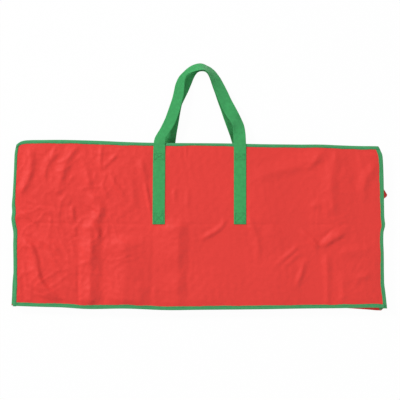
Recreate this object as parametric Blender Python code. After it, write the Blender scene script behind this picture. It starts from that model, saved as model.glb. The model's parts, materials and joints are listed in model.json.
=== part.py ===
"""Christmas tree storage bag, folded flat and lying on its back.

The front panel faces up. +X runs along the bag to the right, and +Y runs from its bottom edge to
its top edge, beyond which the two carrying handles lie. The four walls are folded inwards between
the panels: each wall is a back half, a fold and a front half, and the fold of the top wall is the
zip. Opened, the halves turn upright and lift the front panel to the bag's full depth.
"""

import math

import bmesh
import bpy
from mathutils import Vector

# Bag
PANEL_LENGTH = 1.143
PANEL_HEIGHT = 0.508
OPEN_DEPTH = 0.381
OPEN_ANGLE = math.radians(85)
CLOTH = 0.001
CLEARANCE = 0.0003
MERGE_SHARE = 0.01

# Green tape folded over every seam
BINDING_WIDTH = 0.010
BINDING_TAPE = 0.0007
CORNER_BINDING_START = 0.009
CORNER_BINDING_END_GAP = 0.003

# Folded walls
SEAM_INSET = 0.001
WALL_END_INSET = 0.002
LAYER_GAP = 0.0005
MITRE_GAP = 0.0015

# Carrying handles, of webbing sewn up each panel and free above the top edge
WEBBING_WIDTH = 0.038
WEBBING_THICKNESS = 0.0016
HANDLE_SPACING = 0.250
HANDLE_CENTRE_X = 0.0013
HANDLE_FOOT_Y = 0.0074
HANDLE_RISE = 0.237
FRONT_HINGE_BELOW_EDGE = 0.037
REAR_HINGE_BEYOND_EDGE = 0.0065
REAR_FOLD_BACK_GAP = 0.0034
REAR_LEFT_SHIFT = 0.0315
REAR_RIGHT_SHIFT = 0.0046
REAR_FLAT_RUN = 0.013
REAR_TURN_RUN = 0.020
LOOP_CLEARANCE = 0.0007
LOOP_REST_HEIGHT = 0.0185
LOOP_STEPS = 4

# Box stitching at the foot and the top of each sewn handle end
STITCH_THREAD = 0.0004
STITCH_LINE = 0.0012
STITCH_MARGIN = 0.004
FOOT_STITCH_LENGTH = 0.030
TOP_STITCH_LENGTH = 0.0185

# Zip
ZIP_TAPE_HEIGHT = 0.0036
ZIP_COIL_HEIGHT = 0.0022
ZIP_COIL_THICKNESS = 0.0024
ZIP_COIL_GAP = 0.0012
ZIP_STOP_LENGTH = 0.003
SLIDER_LENGTH = 0.014
SLIDER_HEIGHT = 0.010
SLIDER_PLATE = 0.0012
SLIDER_GAP = 0.0004
SLIDER_WEB = 0.0006
BRIDGE_LENGTH = 0.010
BRIDGE_WIDTH = 0.002
BRIDGE_STOCK = 0.0014
BRIDGE_PLAY = 0.0006
PULL_LENGTH = 0.032
PULL_WIDTH = 0.009
PULL_THICKNESS = 0.0016
PULL_WINDOW_LENGTH = 0.0075
PULL_WINDOW_WIDTH = 0.0046

# Colour, roughness and metallic value of each finish
FINISHES = {
    "red_cloth": ((0.745, 0.058, 0.048), 0.55, 0.0),
    "green_tape": ((0.060, 0.360, 0.125), 0.75, 0.0),
    "green_webbing": ((0.051, 0.376, 0.117), 0.80, 0.0),
    "green_thread": ((0.110, 0.450, 0.190), 0.65, 0.0),
    "zip_coil": ((0.030, 0.190, 0.070), 0.40, 0.0),
    "nickel": ((0.620, 0.620, 0.610), 0.30, 1.0),
}

# One row for each place on the loops, from the left leg over the top to the right leg. Its shares
# are of half the handle spacing and of the rise, then come the twist in degrees of the front and of
# the rear strap.
LOOP_SHARES = (
    (-1.000, 0.000, 0, 0),
    (-0.965, 0.074, 18, 22),
    (-0.894, 0.155, 32, 30),
    (-0.798, 0.230, 35, 64),
    (-0.707, 0.315, 28, 74),
    (-0.615, 0.447, 28, 84),
    (-0.544, 0.575, 34, 86),
    (-0.494, 0.692, 34, 72),
    (-0.462, 0.796, 50, 62),
    (-0.395, 0.882, 62, 58),
    (-0.262, 0.950, 60, 70),
    (-0.102, 0.988, 56, 82),
    (0.053, 1.000, 56, 86),
    (0.199, 0.974, 60, 88),
    (0.324, 0.915, 52, 88),
    (0.423, 0.828, 40, 88),
    (0.512, 0.718, 30, 88),
    (0.625, 0.588, 22, 86),
    (0.739, 0.459, 12, 80),
    (0.867, 0.338, 18, 70),
    (0.956, 0.239, 22, 66),
    (0.993, 0.133, 12, 36),
    (1.000, 0.000, 0, 0),
)

# Levels above the surface that the bag lies on, from the back panel's webbing to its folded walls
panel_low = WEBBING_THICKNESS + CLEARANCE + BINDING_TAPE + CLEARANCE
panel_high = panel_low + CLOTH
corner_reach = CLOTH / 2 + CLEARANCE + BINDING_TAPE
end_level = panel_high + CLEARANCE + BINDING_TAPE + CLEARANCE + CLOTH / 2
wall_level = end_level + CLOTH / 2 + LAYER_GAP + corner_reach
zip_height = 2 * (ZIP_TAPE_HEIGHT + CLEARANCE + ZIP_COIL_HEIGHT) + ZIP_COIL_GAP
mid_level = wall_level + CLOTH / 2 + CLEARANCE + zip_height / 2

# Places measured inwards from the panels' edges
binding_reach = BINDING_WIDTH - CLEARANCE - BINDING_TAPE
binding_proud = CLEARANCE + BINDING_TAPE
half_width = (OPEN_DEPTH - 2 * (mid_level - panel_low)) / (2 * math.sin(OPEN_ANGLE))
fold_inset = SEAM_INSET + half_width
mitre_start = binding_reach + MITRE_GAP

half_length = PANEL_LENGTH / 2
half_height = PANEL_HEIGHT / 2
front_hinge_y = half_height - FRONT_HINGE_BELOW_EDGE
rear_hinge_y = half_height + REAR_HINGE_BEYOND_EDGE
front_hinge_z = 2 * mid_level + CLEARANCE + WEBBING_THICKNESS / 2


def clear_scene():
    for obj in list(bpy.data.objects):
        bpy.data.objects.remove(obj, do_unlink=True)


def new_collection(name):
    collection = bpy.data.collections.new(name)
    bpy.context.scene.collection.children.link(collection)
    return collection


def at_level(layer, low, high):
    """The heights of something on the back layer, or the same turned over for the front layer."""
    return (low, high) if layer == "back" else (2 * mid_level - high, 2 * mid_level - low)


def world_place(obj):
    """No parent is turned or scaled, so places simply add up."""
    place = Vector((0, 0, 0))
    while obj is not None:
        place = place + obj.location
        obj = obj.parent
    return place


def new_material(name, finish):
    colour, roughness, metallic = FINISHES[finish]
    material = bpy.data.materials.new(name)
    material.use_nodes = True
    shader = material.node_tree.nodes["Principled BSDF"]
    shader.inputs["Base Color"].default_value = (*colour, 1)
    shader.inputs["Roughness"].default_value = roughness
    shader.inputs["Metallic"].default_value = metallic
    material.diffuse_color = (*colour, 1)
    return material


def add_piece(name, data, place, pivot, finish, turn=(0, 0, 0)):
    """Links a piece at its place in the bag, carried by the pivot of its body."""
    obj = bpy.data.objects.new(name, data)
    bag_collection.objects.link(obj)
    obj.rotation_euler = turn
    obj.parent = pivot
    obj.location = Vector(place) - (world_place(pivot) - world_place(bag_origin))
    obj.data.materials.append(new_material(name, finish))
    return obj


def add_pivot(name, place, parent):
    """An empty on a joint's axis, which carries everything that the joint moves."""
    empty = bpy.data.objects.new(name, None)
    bag_collection.objects.link(empty)
    empty.empty_display_size = BINDING_WIDTH
    empty.parent = parent
    empty.location = Vector(place) - (world_place(parent) - world_place(bag_origin))
    return empty


def block(name, low, high, pivot, finish):
    """A rectangular piece between two corners."""
    centre = (Vector(low) + Vector(high)) / 2
    size = Vector(high) - Vector(low)
    mesh = bpy.data.meshes.new(name)
    shape = bmesh.new()
    bmesh.ops.create_cube(shape, size=1)
    bmesh.ops.scale(shape, vec=size, verts=shape.verts)
    shape.to_mesh(mesh)
    shape.free()
    return add_piece(name, mesh, centre, pivot, finish)


def outline_curve(name, outlines, depth):
    """A flat outline, with any further outlines as holes, given half its depth on either side."""
    curve = bpy.data.curves.new(name, "CURVE")
    curve.dimensions = "2D"
    curve.fill_mode = "BOTH"
    curve.extrude = depth / 2
    for outline in outlines:
        spline = curve.splines.new("POLY")
        spline.points.add(len(outline) - 1)
        for point, (across, up) in zip(spline.points, outline):
            point.co = (across, up, 0, 1)
        spline.use_cyclic_u = True
    return curve


def flat_piece(name, outlines, low_z, high_z, pivot, finish):
    curve = outline_curve(name, outlines, high_z - low_z)
    return add_piece(name, curve, (0, 0, (low_z + high_z) / 2), pivot, finish)


def rectangle(low_x, low_y, high_x, high_y):
    return ((low_x, low_y), (high_x, low_y), (high_x, high_y), (low_x, high_y))


def extruded_along(axis, name, outline, start, end, pivot, finish):
    """An outline across X or Y and up Z, drawn out along the other of X and Y."""
    curve = outline_curve(name, [outline], end - start)
    middle = (start + end) / 2
    place = (middle, 0, 0) if axis == "X" else (0, middle, 0)
    turn = (math.pi / 2, 0, math.pi / 2) if axis == "X" else (math.pi / 2, 0, 0)
    return add_piece(name, curve, place, pivot, finish, turn)


def channel(edge, inward, reach, low, high, slot_low, slot_high):
    """The section of a folded tape: two flanges round an edge, joined outside it."""
    outside = edge - inward * binding_proud
    inside = edge + inward * reach
    floor = edge - inward * CLEARANCE
    return (
        (outside, low),
        (inside, low),
        (inside, slot_low),
        (floor, slot_low),
        (floor, slot_high),
        (inside, slot_high),
        (inside, high),
        (outside, high),
    )


def make_panel(layer, pivot):
    low, high = at_level(layer, panel_low, panel_high)
    block(
        f"{layer}_panel",
        (-half_length, -half_height, low),
        (half_length, half_height, high),
        pivot,
        "red_cloth",
    )


def make_panel_bindings(layer, pivot):
    """The tape along a panel's edges. Its inner flange is the seam that carries the folded wall."""
    slot_low = panel_low - CLEARANCE
    slot_high = panel_high + CLEARANCE
    outer_low = {
        "left": 0 if layer == "back" else slot_low - BINDING_TAPE,
        "bottom": 0 if layer == "back" else slot_low - BINDING_TAPE,
        "top": slot_low - BINDING_TAPE,
    }
    end_seam = end_level - CLOTH / 2 - CLEARANCE
    wall_seam = wall_level - CLOTH / 2 - CLEARANCE
    for side, sign in (("left", -1), ("right", 1)):
        low, high = at_level(layer, outer_low["left"], end_seam)
        slots = at_level(layer, slot_low, slot_high)
        section = channel(sign * half_length, -sign, binding_reach, low, high, *slots)
        reach = half_height + binding_proud
        extruded_along("Y", f"{layer}_binding_{side}", section, -reach, reach, pivot, "green_tape")
    for side, sign in (("bottom", -1), ("top", 1)):
        low, high = at_level(layer, outer_low[side], wall_seam)
        slots = at_level(layer, slot_low, slot_high)
        section = channel(sign * half_height, -sign, binding_reach, low, high, *slots)
        reach = half_length - binding_reach - CLEARANCE
        extruded_along("X", f"{layer}_binding_{side}", section, -reach, reach, pivot, "green_tape")


def make_end_half(name, layer, sign, pivot):
    """Half an end wall, narrowing towards its fold so that it clears the folded top and bottom."""
    low, high = at_level(layer, end_level - CLOTH / 2, end_level + CLOTH / 2)
    seam_x = sign * (half_length - SEAM_INSET)
    fold_x = sign * (half_length - fold_inset)
    seam_y = half_height - mitre_start
    fold_y = half_height - mitre_start - half_width
    outline = ((seam_x, -seam_y), (seam_x, seam_y), (fold_x, fold_y), (fold_x, -fold_y))
    flat_piece(name, [outline], low, high, pivot, "red_cloth")


def make_end_fold(name, sign, pivot):
    fold_x = sign * (half_length - fold_inset)
    low = end_level + CLOTH / 2 + CLEARANCE
    fold_y = half_height - mitre_start - half_width
    block(
        name,
        (fold_x - CLOTH / 2, -fold_y, low),
        (fold_x + CLOTH / 2, fold_y, 2 * mid_level - low),
        pivot,
        "red_cloth",
    )


def make_wall_half(name, layer, sign, pivot):
    """Half of the top or bottom wall, the whole length of the bag."""
    low, high = at_level(layer, wall_level - CLOTH / 2, wall_level + CLOTH / 2)
    edges = sorted((sign * (half_height - SEAM_INSET), sign * (half_height - fold_inset)))
    reach = half_length - WALL_END_INSET
    block(name, (-reach, edges[0], low), (reach, edges[1], high), pivot, "red_cloth")


def make_corner_bindings(wall, layer, sign, pivot):
    """The tape down the seams between this half of the wall and the two ends."""
    slots = at_level(layer, wall_level - CLOTH / 2 - CLEARANCE, wall_level + CLOTH / 2 + CLEARANCE)
    low, high = at_level(layer, wall_level - corner_reach, wall_level + corner_reach)
    seam_y = sign * (half_height - SEAM_INSET - CORNER_BINDING_START)
    fold_y = sign * (half_height - fold_inset + CORNER_BINDING_END_GAP)
    start, end = sorted((seam_y, fold_y))
    for end_name, end_sign in (("left", -1), ("right", 1)):
        edge = end_sign * (half_length - WALL_END_INSET)
        section = channel(edge, -end_sign, binding_reach, low, high, *slots)
        name = f"corner_binding_{wall}_{layer}_{end_name}"
        extruded_along("Y", name, section, start, end, pivot, "green_tape")


def make_bottom_fold(pivot):
    fold_y = -(half_height - fold_inset)
    reach = half_length - WALL_END_INSET
    block(
        "bottom_fold",
        (-reach, fold_y - CLOTH / 2, mid_level - zip_height / 2),
        (reach, fold_y + CLOTH / 2, mid_level + zip_height / 2),
        pivot,
        "red_cloth",
    )


def make_zip(pivot):
    """Two tapes, each with its row of coil, and a stop at either end of the coil."""
    fold_y = half_height - fold_inset
    reach = half_length - WALL_END_INSET
    coil_reach = reach - BINDING_WIDTH
    tape_low = mid_level - zip_height / 2
    coil_low = tape_low + ZIP_TAPE_HEIGHT + CLEARANCE
    for layer in ("back", "front"):
        low, high = at_level(layer, tape_low, tape_low + ZIP_TAPE_HEIGHT)
        corners = (-reach, fold_y - CLOTH / 2, low), (reach, fold_y + CLOTH / 2, high)
        block(f"zip_tape_{layer}", *corners, pivot, "green_tape")
        low, high = at_level(layer, coil_low, coil_low + ZIP_COIL_HEIGHT)
        side = ZIP_COIL_THICKNESS / 2
        corners = (-coil_reach, fold_y - side, low), (coil_reach, fold_y + side, high)
        block(f"zip_coil_{layer}", *corners, pivot, "zip_coil")
    for end_name, sign in (("left", -1), ("right", 1)):
        ends = sorted((sign * (coil_reach + CLEARANCE), sign * (coil_reach + ZIP_STOP_LENGTH)))
        side = ZIP_COIL_THICKNESS / 2
        corners = (ends[0], fold_y - side, coil_low), (ends[1], fold_y + side, 2 * mid_level - coil_low)
        block(f"zip_stop_{end_name}", *corners, pivot, "nickel")


def mesh_from(obj):
    """The object's evaluated shape as a closed mesh, in the object's place."""
    graph = bpy.context.evaluated_depsgraph_get()
    mesh = bpy.data.meshes.new_from_object(obj.evaluated_get(graph))
    shape = bmesh.new()
    shape.from_mesh(mesh)
    bmesh.ops.remove_doubles(shape, verts=shape.verts, dist=CLEARANCE * MERGE_SHARE)
    bmesh.ops.recalc_face_normals(shape, faces=shape.faces)
    shape.to_mesh(mesh)
    shape.free()
    return mesh


def make_slider(pivot):
    """Two plates joined by a web between the rows of coil, and the bridge that holds the pull."""
    fold_y = half_height - fold_inset
    plate_low = ZIP_COIL_THICKNESS / 2 + SLIDER_GAP
    plate_high = plate_low + SLIDER_PLATE
    side = SLIDER_HEIGHT / 2
    web = SLIDER_WEB / 2
    body_section = (
        (fold_y - plate_high, mid_level - side),
        (fold_y - plate_low, mid_level - side),
        (fold_y - plate_low, mid_level - web),
        (fold_y + plate_low, mid_level - web),
        (fold_y + plate_low, mid_level - side),
        (fold_y + plate_high, mid_level - side),
        (fold_y + plate_high, mid_level + side),
        (fold_y + plate_low, mid_level + side),
        (fold_y + plate_low, mid_level + web),
        (fold_y - plate_low, mid_level + web),
        (fold_y - plate_low, mid_level + side),
        (fold_y - plate_high, mid_level + side),
    )
    start = slider_x - SLIDER_LENGTH / 2
    end = slider_x + SLIDER_LENGTH / 2
    body = extruded_along("X", "zip_slider", body_section, start, end, pivot, "nickel")
    low_y = fold_y + plate_high - SLIDER_PLATE / 2
    high_y = pull_y + PULL_THICKNESS / 2 + BRIDGE_PLAY + BRIDGE_STOCK
    inner_y = high_y - BRIDGE_STOCK
    outer_x = BRIDGE_LENGTH / 2
    inner_x = outer_x - BRIDGE_STOCK
    arch = (
        (slider_x - outer_x, low_y),
        (slider_x - inner_x, low_y),
        (slider_x - inner_x, inner_y),
        (slider_x + inner_x, inner_y),
        (slider_x + inner_x, low_y),
        (slider_x + outer_x, low_y),
        (slider_x + outer_x, high_y),
        (slider_x - outer_x, high_y),
    )
    bridge = flat_piece(
        "zip_slider_bridge",
        [arch],
        mid_level - BRIDGE_WIDTH / 2,
        mid_level + BRIDGE_WIDTH / 2,
        pivot,
        "nickel",
    )
    join_curves(body, bridge)


def join_curves(body, addition):
    """Makes both curves meshes and unites them in the first one's node."""
    bpy.context.view_layer.update()
    solids = []
    for obj in (body, addition):
        mesh = mesh_from(obj)
        solid = bpy.data.objects.new(f"{obj.name}_solid", mesh)
        solid.matrix_world = obj.matrix_world
        solids.append(solid)
    name = body.name
    pivot = body.parent
    for obj in (body, addition):
        bpy.data.objects.remove(obj, do_unlink=True)
    first, second = solids
    bag_collection.objects.link(first)
    place = first.matrix_world.copy()
    first.name = name
    first.parent = pivot
    first.matrix_world = place
    guide_collection.objects.link(second)
    second.hide_render = True
    second.display_type = "WIRE"
    union = first.modifiers.new("bridge", "BOOLEAN")
    union.operation = "UNION"
    union.object = second


def make_pull(pivot):
    """A flat tab with a window. The bar at its end lies inside the slider's bridge."""
    bar = PULL_THICKNESS / 2
    window_end = bar + PULL_WINDOW_LENGTH
    tip = PULL_LENGTH - bar
    side = PULL_WIDTH / 2
    opening = PULL_WINDOW_WIDTH / 2
    outline = rectangle(slider_x - bar, mid_level - side, slider_x + tip, mid_level + side)
    window = rectangle(slider_x + bar, mid_level - opening, slider_x + window_end, mid_level + opening)
    curve = outline_curve("zip_pull", [outline, window], PULL_THICKNESS)
    add_piece("zip_pull", curve, (0, pull_y, 0), pivot, "nickel", (math.pi / 2, 0, 0))


def handle_x(sign, layer):
    """The middle of a sewn handle end. The rear handle's left foot is set further in."""
    middle = HANDLE_CENTRE_X + sign * HANDLE_SPACING / 2
    if layer == "front":
        return middle
    return middle - sign * (REAR_LEFT_SHIFT if sign < 0 else REAR_RIGHT_SHIFT)


def make_handle_end(layer, side, sign, pivot):
    """Webbing sewn up the panel from below its middle to where the loop comes free."""
    low, high = at_level(layer, 0, WEBBING_THICKNESS)
    middle = handle_x(sign, layer)
    top_y = front_hinge_y + STITCH_MARGIN
    if layer == "back":
        top_y = rear_hinge_y - REAR_FOLD_BACK_GAP
    name = f"{layer}_handle_end_{side}"
    corners = (
        (middle - WEBBING_WIDTH / 2, HANDLE_FOOT_Y, low),
        (middle + WEBBING_WIDTH / 2, top_y, high),
    )
    block(name, *corners, pivot, "green_webbing")


def make_stitching(layer, side, sign, pivot):
    """Thread frames: over the webbing on the front, and inside the bag on the back panel."""
    middle = handle_x(sign, layer)
    reach = WEBBING_WIDTH / 2 - STITCH_MARGIN
    low = 2 * mid_level + CLEARANCE if layer == "front" else panel_high + CLEARANCE
    spans = {
        "foot": (HANDLE_FOOT_Y + STITCH_MARGIN, HANDLE_FOOT_Y + STITCH_MARGIN + FOOT_STITCH_LENGTH),
        "top": (front_hinge_y - STITCH_MARGIN - TOP_STITCH_LENGTH, front_hinge_y - STITCH_MARGIN),
    }
    for place, (start, end) in spans.items():
        outer = rectangle(middle - reach, start, middle + reach, end)
        inner = rectangle(
            middle - reach + STITCH_LINE,
            start + STITCH_LINE,
            middle + reach - STITCH_LINE,
            end - STITCH_LINE,
        )
        name = f"{layer}_stitching_{place}_{side}"
        flat_piece(name, [outer, inner], low, low + STITCH_THREAD, pivot, "green_thread")


def smooth_step(share):
    share = min(max(share, 0), 1)
    return share * share * (3 - 2 * share)


def through_points(points, steps):
    """A smooth curve through the points, as a list with that many steps between each two."""
    found = []
    for index in range(len(points) - 1):
        before = points[max(index - 1, 0)]
        start = points[index]
        end = points[index + 1]
        after = points[min(index + 2, len(points) - 1)]
        for step in range(steps):
            t = step / steps
            found.append(
                tuple(
                    0.5
                    * (
                        2 * b
                        + (c - a) * t
                        + (2 * a - 5 * b + 4 * c - d) * t * t
                        + (3 * b - a - 3 * c + d) * t * t * t
                    )
                    for a, b, c, d in zip(before, start, end, after)
                )
            )
    found.append(tuple(points[-1]))
    return found


def across(twist):
    """How wide the strap looks from above at this twist."""
    return WEBBING_WIDTH * math.cos(twist) + WEBBING_THICKNESS * math.sin(twist)


def upright(twist):
    """How tall the strap stands at this twist."""
    return WEBBING_WIDTH * math.sin(twist) + WEBBING_THICKNESS * math.cos(twist)


def front_loop_stations():
    """Places and twists of the front strap. It leaves the panel flat and droops to the surface."""
    rows = []
    for share_x, share_y, twist, _ in LOOP_SHARES:
        height = front_hinge_z - (front_hinge_z - LOOP_REST_HEIGHT) * smooth_step(share_y)
        x = HANDLE_CENTRE_X + share_x * HANDLE_SPACING / 2
        rows.append((x, half_height + share_y * HANDLE_RISE, height, -math.radians(twist)))
    first, last = rows[0], rows[-1]
    middle_y = (front_hinge_y + half_height) / 2
    ends = [(row[0], y, front_hinge_z, 0) for row in (first, last) for y in (front_hinge_y, middle_y)]
    return through_points([*ends[:2], *rows, ends[3], ends[2]], LOOP_STEPS)


def rear_loop_stations():
    """The rear strap leaves its webbing flat, then lies just inside the front one on its edge."""
    rows = []
    for index in range(1, len(LOOP_SHARES) - 1):
        share_x, share_y, front_twist, rear_twist = LOOP_SHARES[index]
        before, after = LOOP_SHARES[index - 1], LOOP_SHARES[index + 1]
        run = Vector(
            (
                (after[0] - before[0]) * HANDLE_SPACING / 2,
                (after[1] - before[1]) * HANDLE_RISE,
            )
        ).normalized()
        twist = math.radians(rear_twist)
        offset = (across(math.radians(front_twist)) + across(twist)) / 2 + LOOP_CLEARANCE
        x = HANDLE_CENTRE_X + share_x * HANDLE_SPACING / 2 + run.y * offset
        y = half_height + share_y * HANDLE_RISE - run.x * offset
        if y > rear_hinge_y + REAR_TURN_RUN:
            rows.append((x, y, twist))
    ends = []
    for sign in (-1, 1):
        x = handle_x(sign, "back")
        ends.append([(x, rear_hinge_y + run, 0) for run in (0, REAR_FLAT_RUN)])
    left, right = ends
    places = through_points([*left, *rows, right[1], right[0]], LOOP_STEPS)
    places = [places[0], *places[LOOP_STEPS:-LOOP_STEPS], places[-1]]
    return [(x, y, upright(twist) / 2, twist) for x, y, twist in places]


def webbing_profile():
    side = WEBBING_WIDTH / 2
    edge = WEBBING_THICKNESS / 2
    curve = bpy.data.curves.new("webbing_section", "CURVE")
    curve.dimensions = "2D"
    curve.fill_mode = "NONE"
    spline = curve.splines.new("POLY")
    spline.points.add(3)
    for point, (x, y) in zip(spline.points, reversed(rectangle(-side, -edge, side, edge))):
        point.co = (x, y, 0, 1)
    spline.use_cyclic_u = True
    profile = bpy.data.objects.new("webbing_section", curve)
    guide_collection.objects.link(profile)
    profile.hide_render = True
    profile.display_type = "WIRE"
    return profile


def make_loop(name, stations, pivot, profile):
    curve = bpy.data.curves.new(name, "CURVE")
    curve.dimensions = "3D"
    curve.twist_mode = "Z_UP"
    curve.bevel_mode = "OBJECT"
    curve.bevel_object = profile
    curve.use_fill_caps = True
    spline = curve.splines.new("POLY")
    spline.points.add(len(stations) - 1)
    for point, (x, y, z, twist) in zip(spline.points, stations):
        point.co = (x, y, z, 1)
        point.tilt = twist
    add_piece(name, curve, (0, 0, 0), pivot, "green_webbing")


def loop_top():
    """The furthest reach of the front strap beyond the bag."""
    return max(y + across(abs(twist)) / 2 for _, y, _, twist in front_loop_stations())


def make_folding_wall(wall, axis, sign, level, parent):
    """The pivots of one wall's back half, fold and front half, each carried by the one before."""
    seam = sign * ((half_length if axis == "X" else half_height) - SEAM_INSET)
    fold = seam - sign * half_width
    places = {
        "back": (seam, level),
        "fold": (fold, level),
        "front": (fold, 2 * mid_level - level),
    }
    pivots = {}
    for layer, (offset, height) in places.items():
        place = (offset, 0, height) if axis == "X" else (0, offset, height)
        parent = add_pivot(f"{wall}_{layer}_pivot", place, parent)
        pivots[layer] = parent
    return pivots


clear_scene()
bag_collection = new_collection("christmas_tree_storage_bag")
guide_collection = new_collection("guides")

bag_origin = bpy.data.objects.new("bag_origin", None)
bag_collection.objects.link(bag_origin)
bag_origin.location = (0, (half_height + binding_proud - loop_top()) / 2, 0)

left_end = make_folding_wall("left_end", "X", -1, end_level, bag_origin)
right_end = make_folding_wall("right_end", "X", 1, end_level, bag_origin)
bottom = make_folding_wall("bottom", "Y", -1, wall_level, bag_origin)
top = make_folding_wall("top", "Y", 1, wall_level, bag_origin)

front_place = (-(half_length - SEAM_INSET), 0, 2 * mid_level - end_level)
front_body = add_pivot("front_panel_pivot", front_place, left_end["front"])
bodies = {"back": bag_origin, "front": front_body}

for layer_name, body_pivot in bodies.items():
    make_panel(layer_name, body_pivot)
    make_panel_bindings(layer_name, body_pivot)
    for side_name, side_sign in (("left", -1), ("right", 1)):
        make_handle_end(layer_name, side_name, side_sign, body_pivot)
        make_stitching(layer_name, side_name, side_sign, body_pivot)

for end_side, end_pivots, end_sign in (("left_end", left_end, -1), ("right_end", right_end, 1)):
    make_end_fold(f"{end_side}_fold", end_sign, end_pivots["fold"])
    for layer_name in bodies:
        make_end_half(f"{end_side}_{layer_name}_half", layer_name, end_sign, end_pivots[layer_name])

for wall_name, wall_pivots, wall_sign in (("bottom", bottom, -1), ("top", top, 1)):
    for layer_name in bodies:
        wall_pivot = wall_pivots[layer_name]
        make_wall_half(f"{wall_name}_{layer_name}_half", layer_name, wall_sign, wall_pivot)
        make_corner_bindings(wall_name, layer_name, wall_sign, wall_pivot)

make_bottom_fold(bottom["fold"])
make_zip(top["fold"])

slider_x = -(half_length - WALL_END_INSET - BINDING_WIDTH) + CLEARANCE + SLIDER_LENGTH / 2
pull_y = half_height - fold_inset + ZIP_COIL_THICKNESS / 2 + SLIDER_GAP + SLIDER_PLATE
pull_y += CLEARANCE + PULL_THICKNESS / 2
slider_place = (slider_x, half_height - fold_inset, mid_level)
slider_pivot = add_pivot("zip_slider_pivot", slider_place, top["fold"])
make_slider(slider_pivot)
pull_pivot = add_pivot("zip_pull_pivot", (slider_x, pull_y, mid_level), slider_pivot)
make_pull(pull_pivot)

webbing_section = webbing_profile()
front_handle_place = (HANDLE_CENTRE_X, front_hinge_y, front_hinge_z)
front_handle_pivot = add_pivot("front_handle_pivot", front_handle_place, front_body)
make_loop("front_handle_loop", front_loop_stations(), front_handle_pivot, webbing_section)
rear_handle_place = (HANDLE_CENTRE_X, rear_hinge_y, WEBBING_THICKNESS / 2)
rear_handle_pivot = add_pivot("rear_handle_pivot", rear_handle_place, bag_origin)
make_loop("back_handle_loop", rear_loop_stations(), rear_handle_pivot, webbing_section)
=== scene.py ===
"""Christmas tree storage bag, folded flat and lying on its back, dressed in cloth and webbing.

The folded solids give every place and size. Each soft solid is replaced by creased cloth, folded
tape or woven webbing, and the zip gets its coil, slider and pull.
"""

import json
import math

import bmesh
import bpy
import numpy as np
from bpy.props import FloatProperty, FloatVectorProperty, PointerProperty
from bpy.types import Operator, Panel, PropertyGroup
from mathutils import Matrix, Vector


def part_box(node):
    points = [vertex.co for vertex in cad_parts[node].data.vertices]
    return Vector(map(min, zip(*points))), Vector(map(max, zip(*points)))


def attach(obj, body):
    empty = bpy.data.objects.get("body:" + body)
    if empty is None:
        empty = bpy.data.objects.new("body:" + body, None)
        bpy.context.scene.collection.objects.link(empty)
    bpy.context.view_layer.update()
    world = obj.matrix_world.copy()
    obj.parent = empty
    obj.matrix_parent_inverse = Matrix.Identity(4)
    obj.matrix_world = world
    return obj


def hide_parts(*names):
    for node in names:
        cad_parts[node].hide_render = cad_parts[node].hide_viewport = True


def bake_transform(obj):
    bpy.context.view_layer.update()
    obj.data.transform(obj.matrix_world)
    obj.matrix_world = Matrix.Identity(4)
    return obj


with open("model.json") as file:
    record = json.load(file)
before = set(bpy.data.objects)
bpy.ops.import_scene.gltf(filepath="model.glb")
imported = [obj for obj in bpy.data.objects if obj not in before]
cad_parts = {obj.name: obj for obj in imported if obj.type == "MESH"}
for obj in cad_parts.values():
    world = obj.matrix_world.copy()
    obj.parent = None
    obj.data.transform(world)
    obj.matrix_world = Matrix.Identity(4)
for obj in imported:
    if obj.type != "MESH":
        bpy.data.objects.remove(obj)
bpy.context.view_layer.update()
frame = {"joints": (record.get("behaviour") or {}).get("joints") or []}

bl_info = {
    "name": "Folded Christmas Tree Bag",
    "version": (1, 0, 0),
    "blender": (4, 5, 0),
    "location": "View3D > Sidebar > Tree Bag",
    "description": "Dresses the folded tree storage bag in cloth, tape, webbing and its zip",
    "category": "Add Mesh",
}

# Levels and places of the folded solids
front_low, front_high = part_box("front_panel")
back_low, back_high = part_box("back_panel")
half_length = (front_high.x - front_low.x) / 2
half_height = (front_high.y - front_low.y) / 2
centre_y = (front_high.y + front_low.y) / 2
front_level = (front_low.z + front_high.z) / 2
back_level = (back_low.z + back_high.z) / 2
mid_level = (front_level + back_level) / 2
hinges = {joint["name"]: joint for joint in frame["joints"]}
seam_x = hinges["right_end_lower_turn"]["pos_m"][0]
fold_x = hinges["right_end_fold_turn"]["pos_m"][0]
end_level = hinges["right_end_lower_turn"]["pos_m"][2]
seam_y = hinges["top_lower_turn"]["pos_m"][1] - centre_y
fold_line_y = hinges["zip_strip_turn"]["pos_m"][1]
fold_y = fold_line_y - centre_y
wall_level = hinges["top_lower_turn"]["pos_m"][2]
wall_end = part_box("top_back_half")[1].x
fold_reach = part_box("left_end_fold")[1].y - centre_y

# The photograph: its scale, the panel's middle, the way its light falls, its own middle and width
PIXEL = 0.00308
MIDDLE_PX = (199.0, 226.5)
LIGHT_RUN = (0.8, 0.6)
VIEW_MIDDLE_PX = (200.0, 200.0)
VIEW_WIDTH_PX = 400

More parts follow.
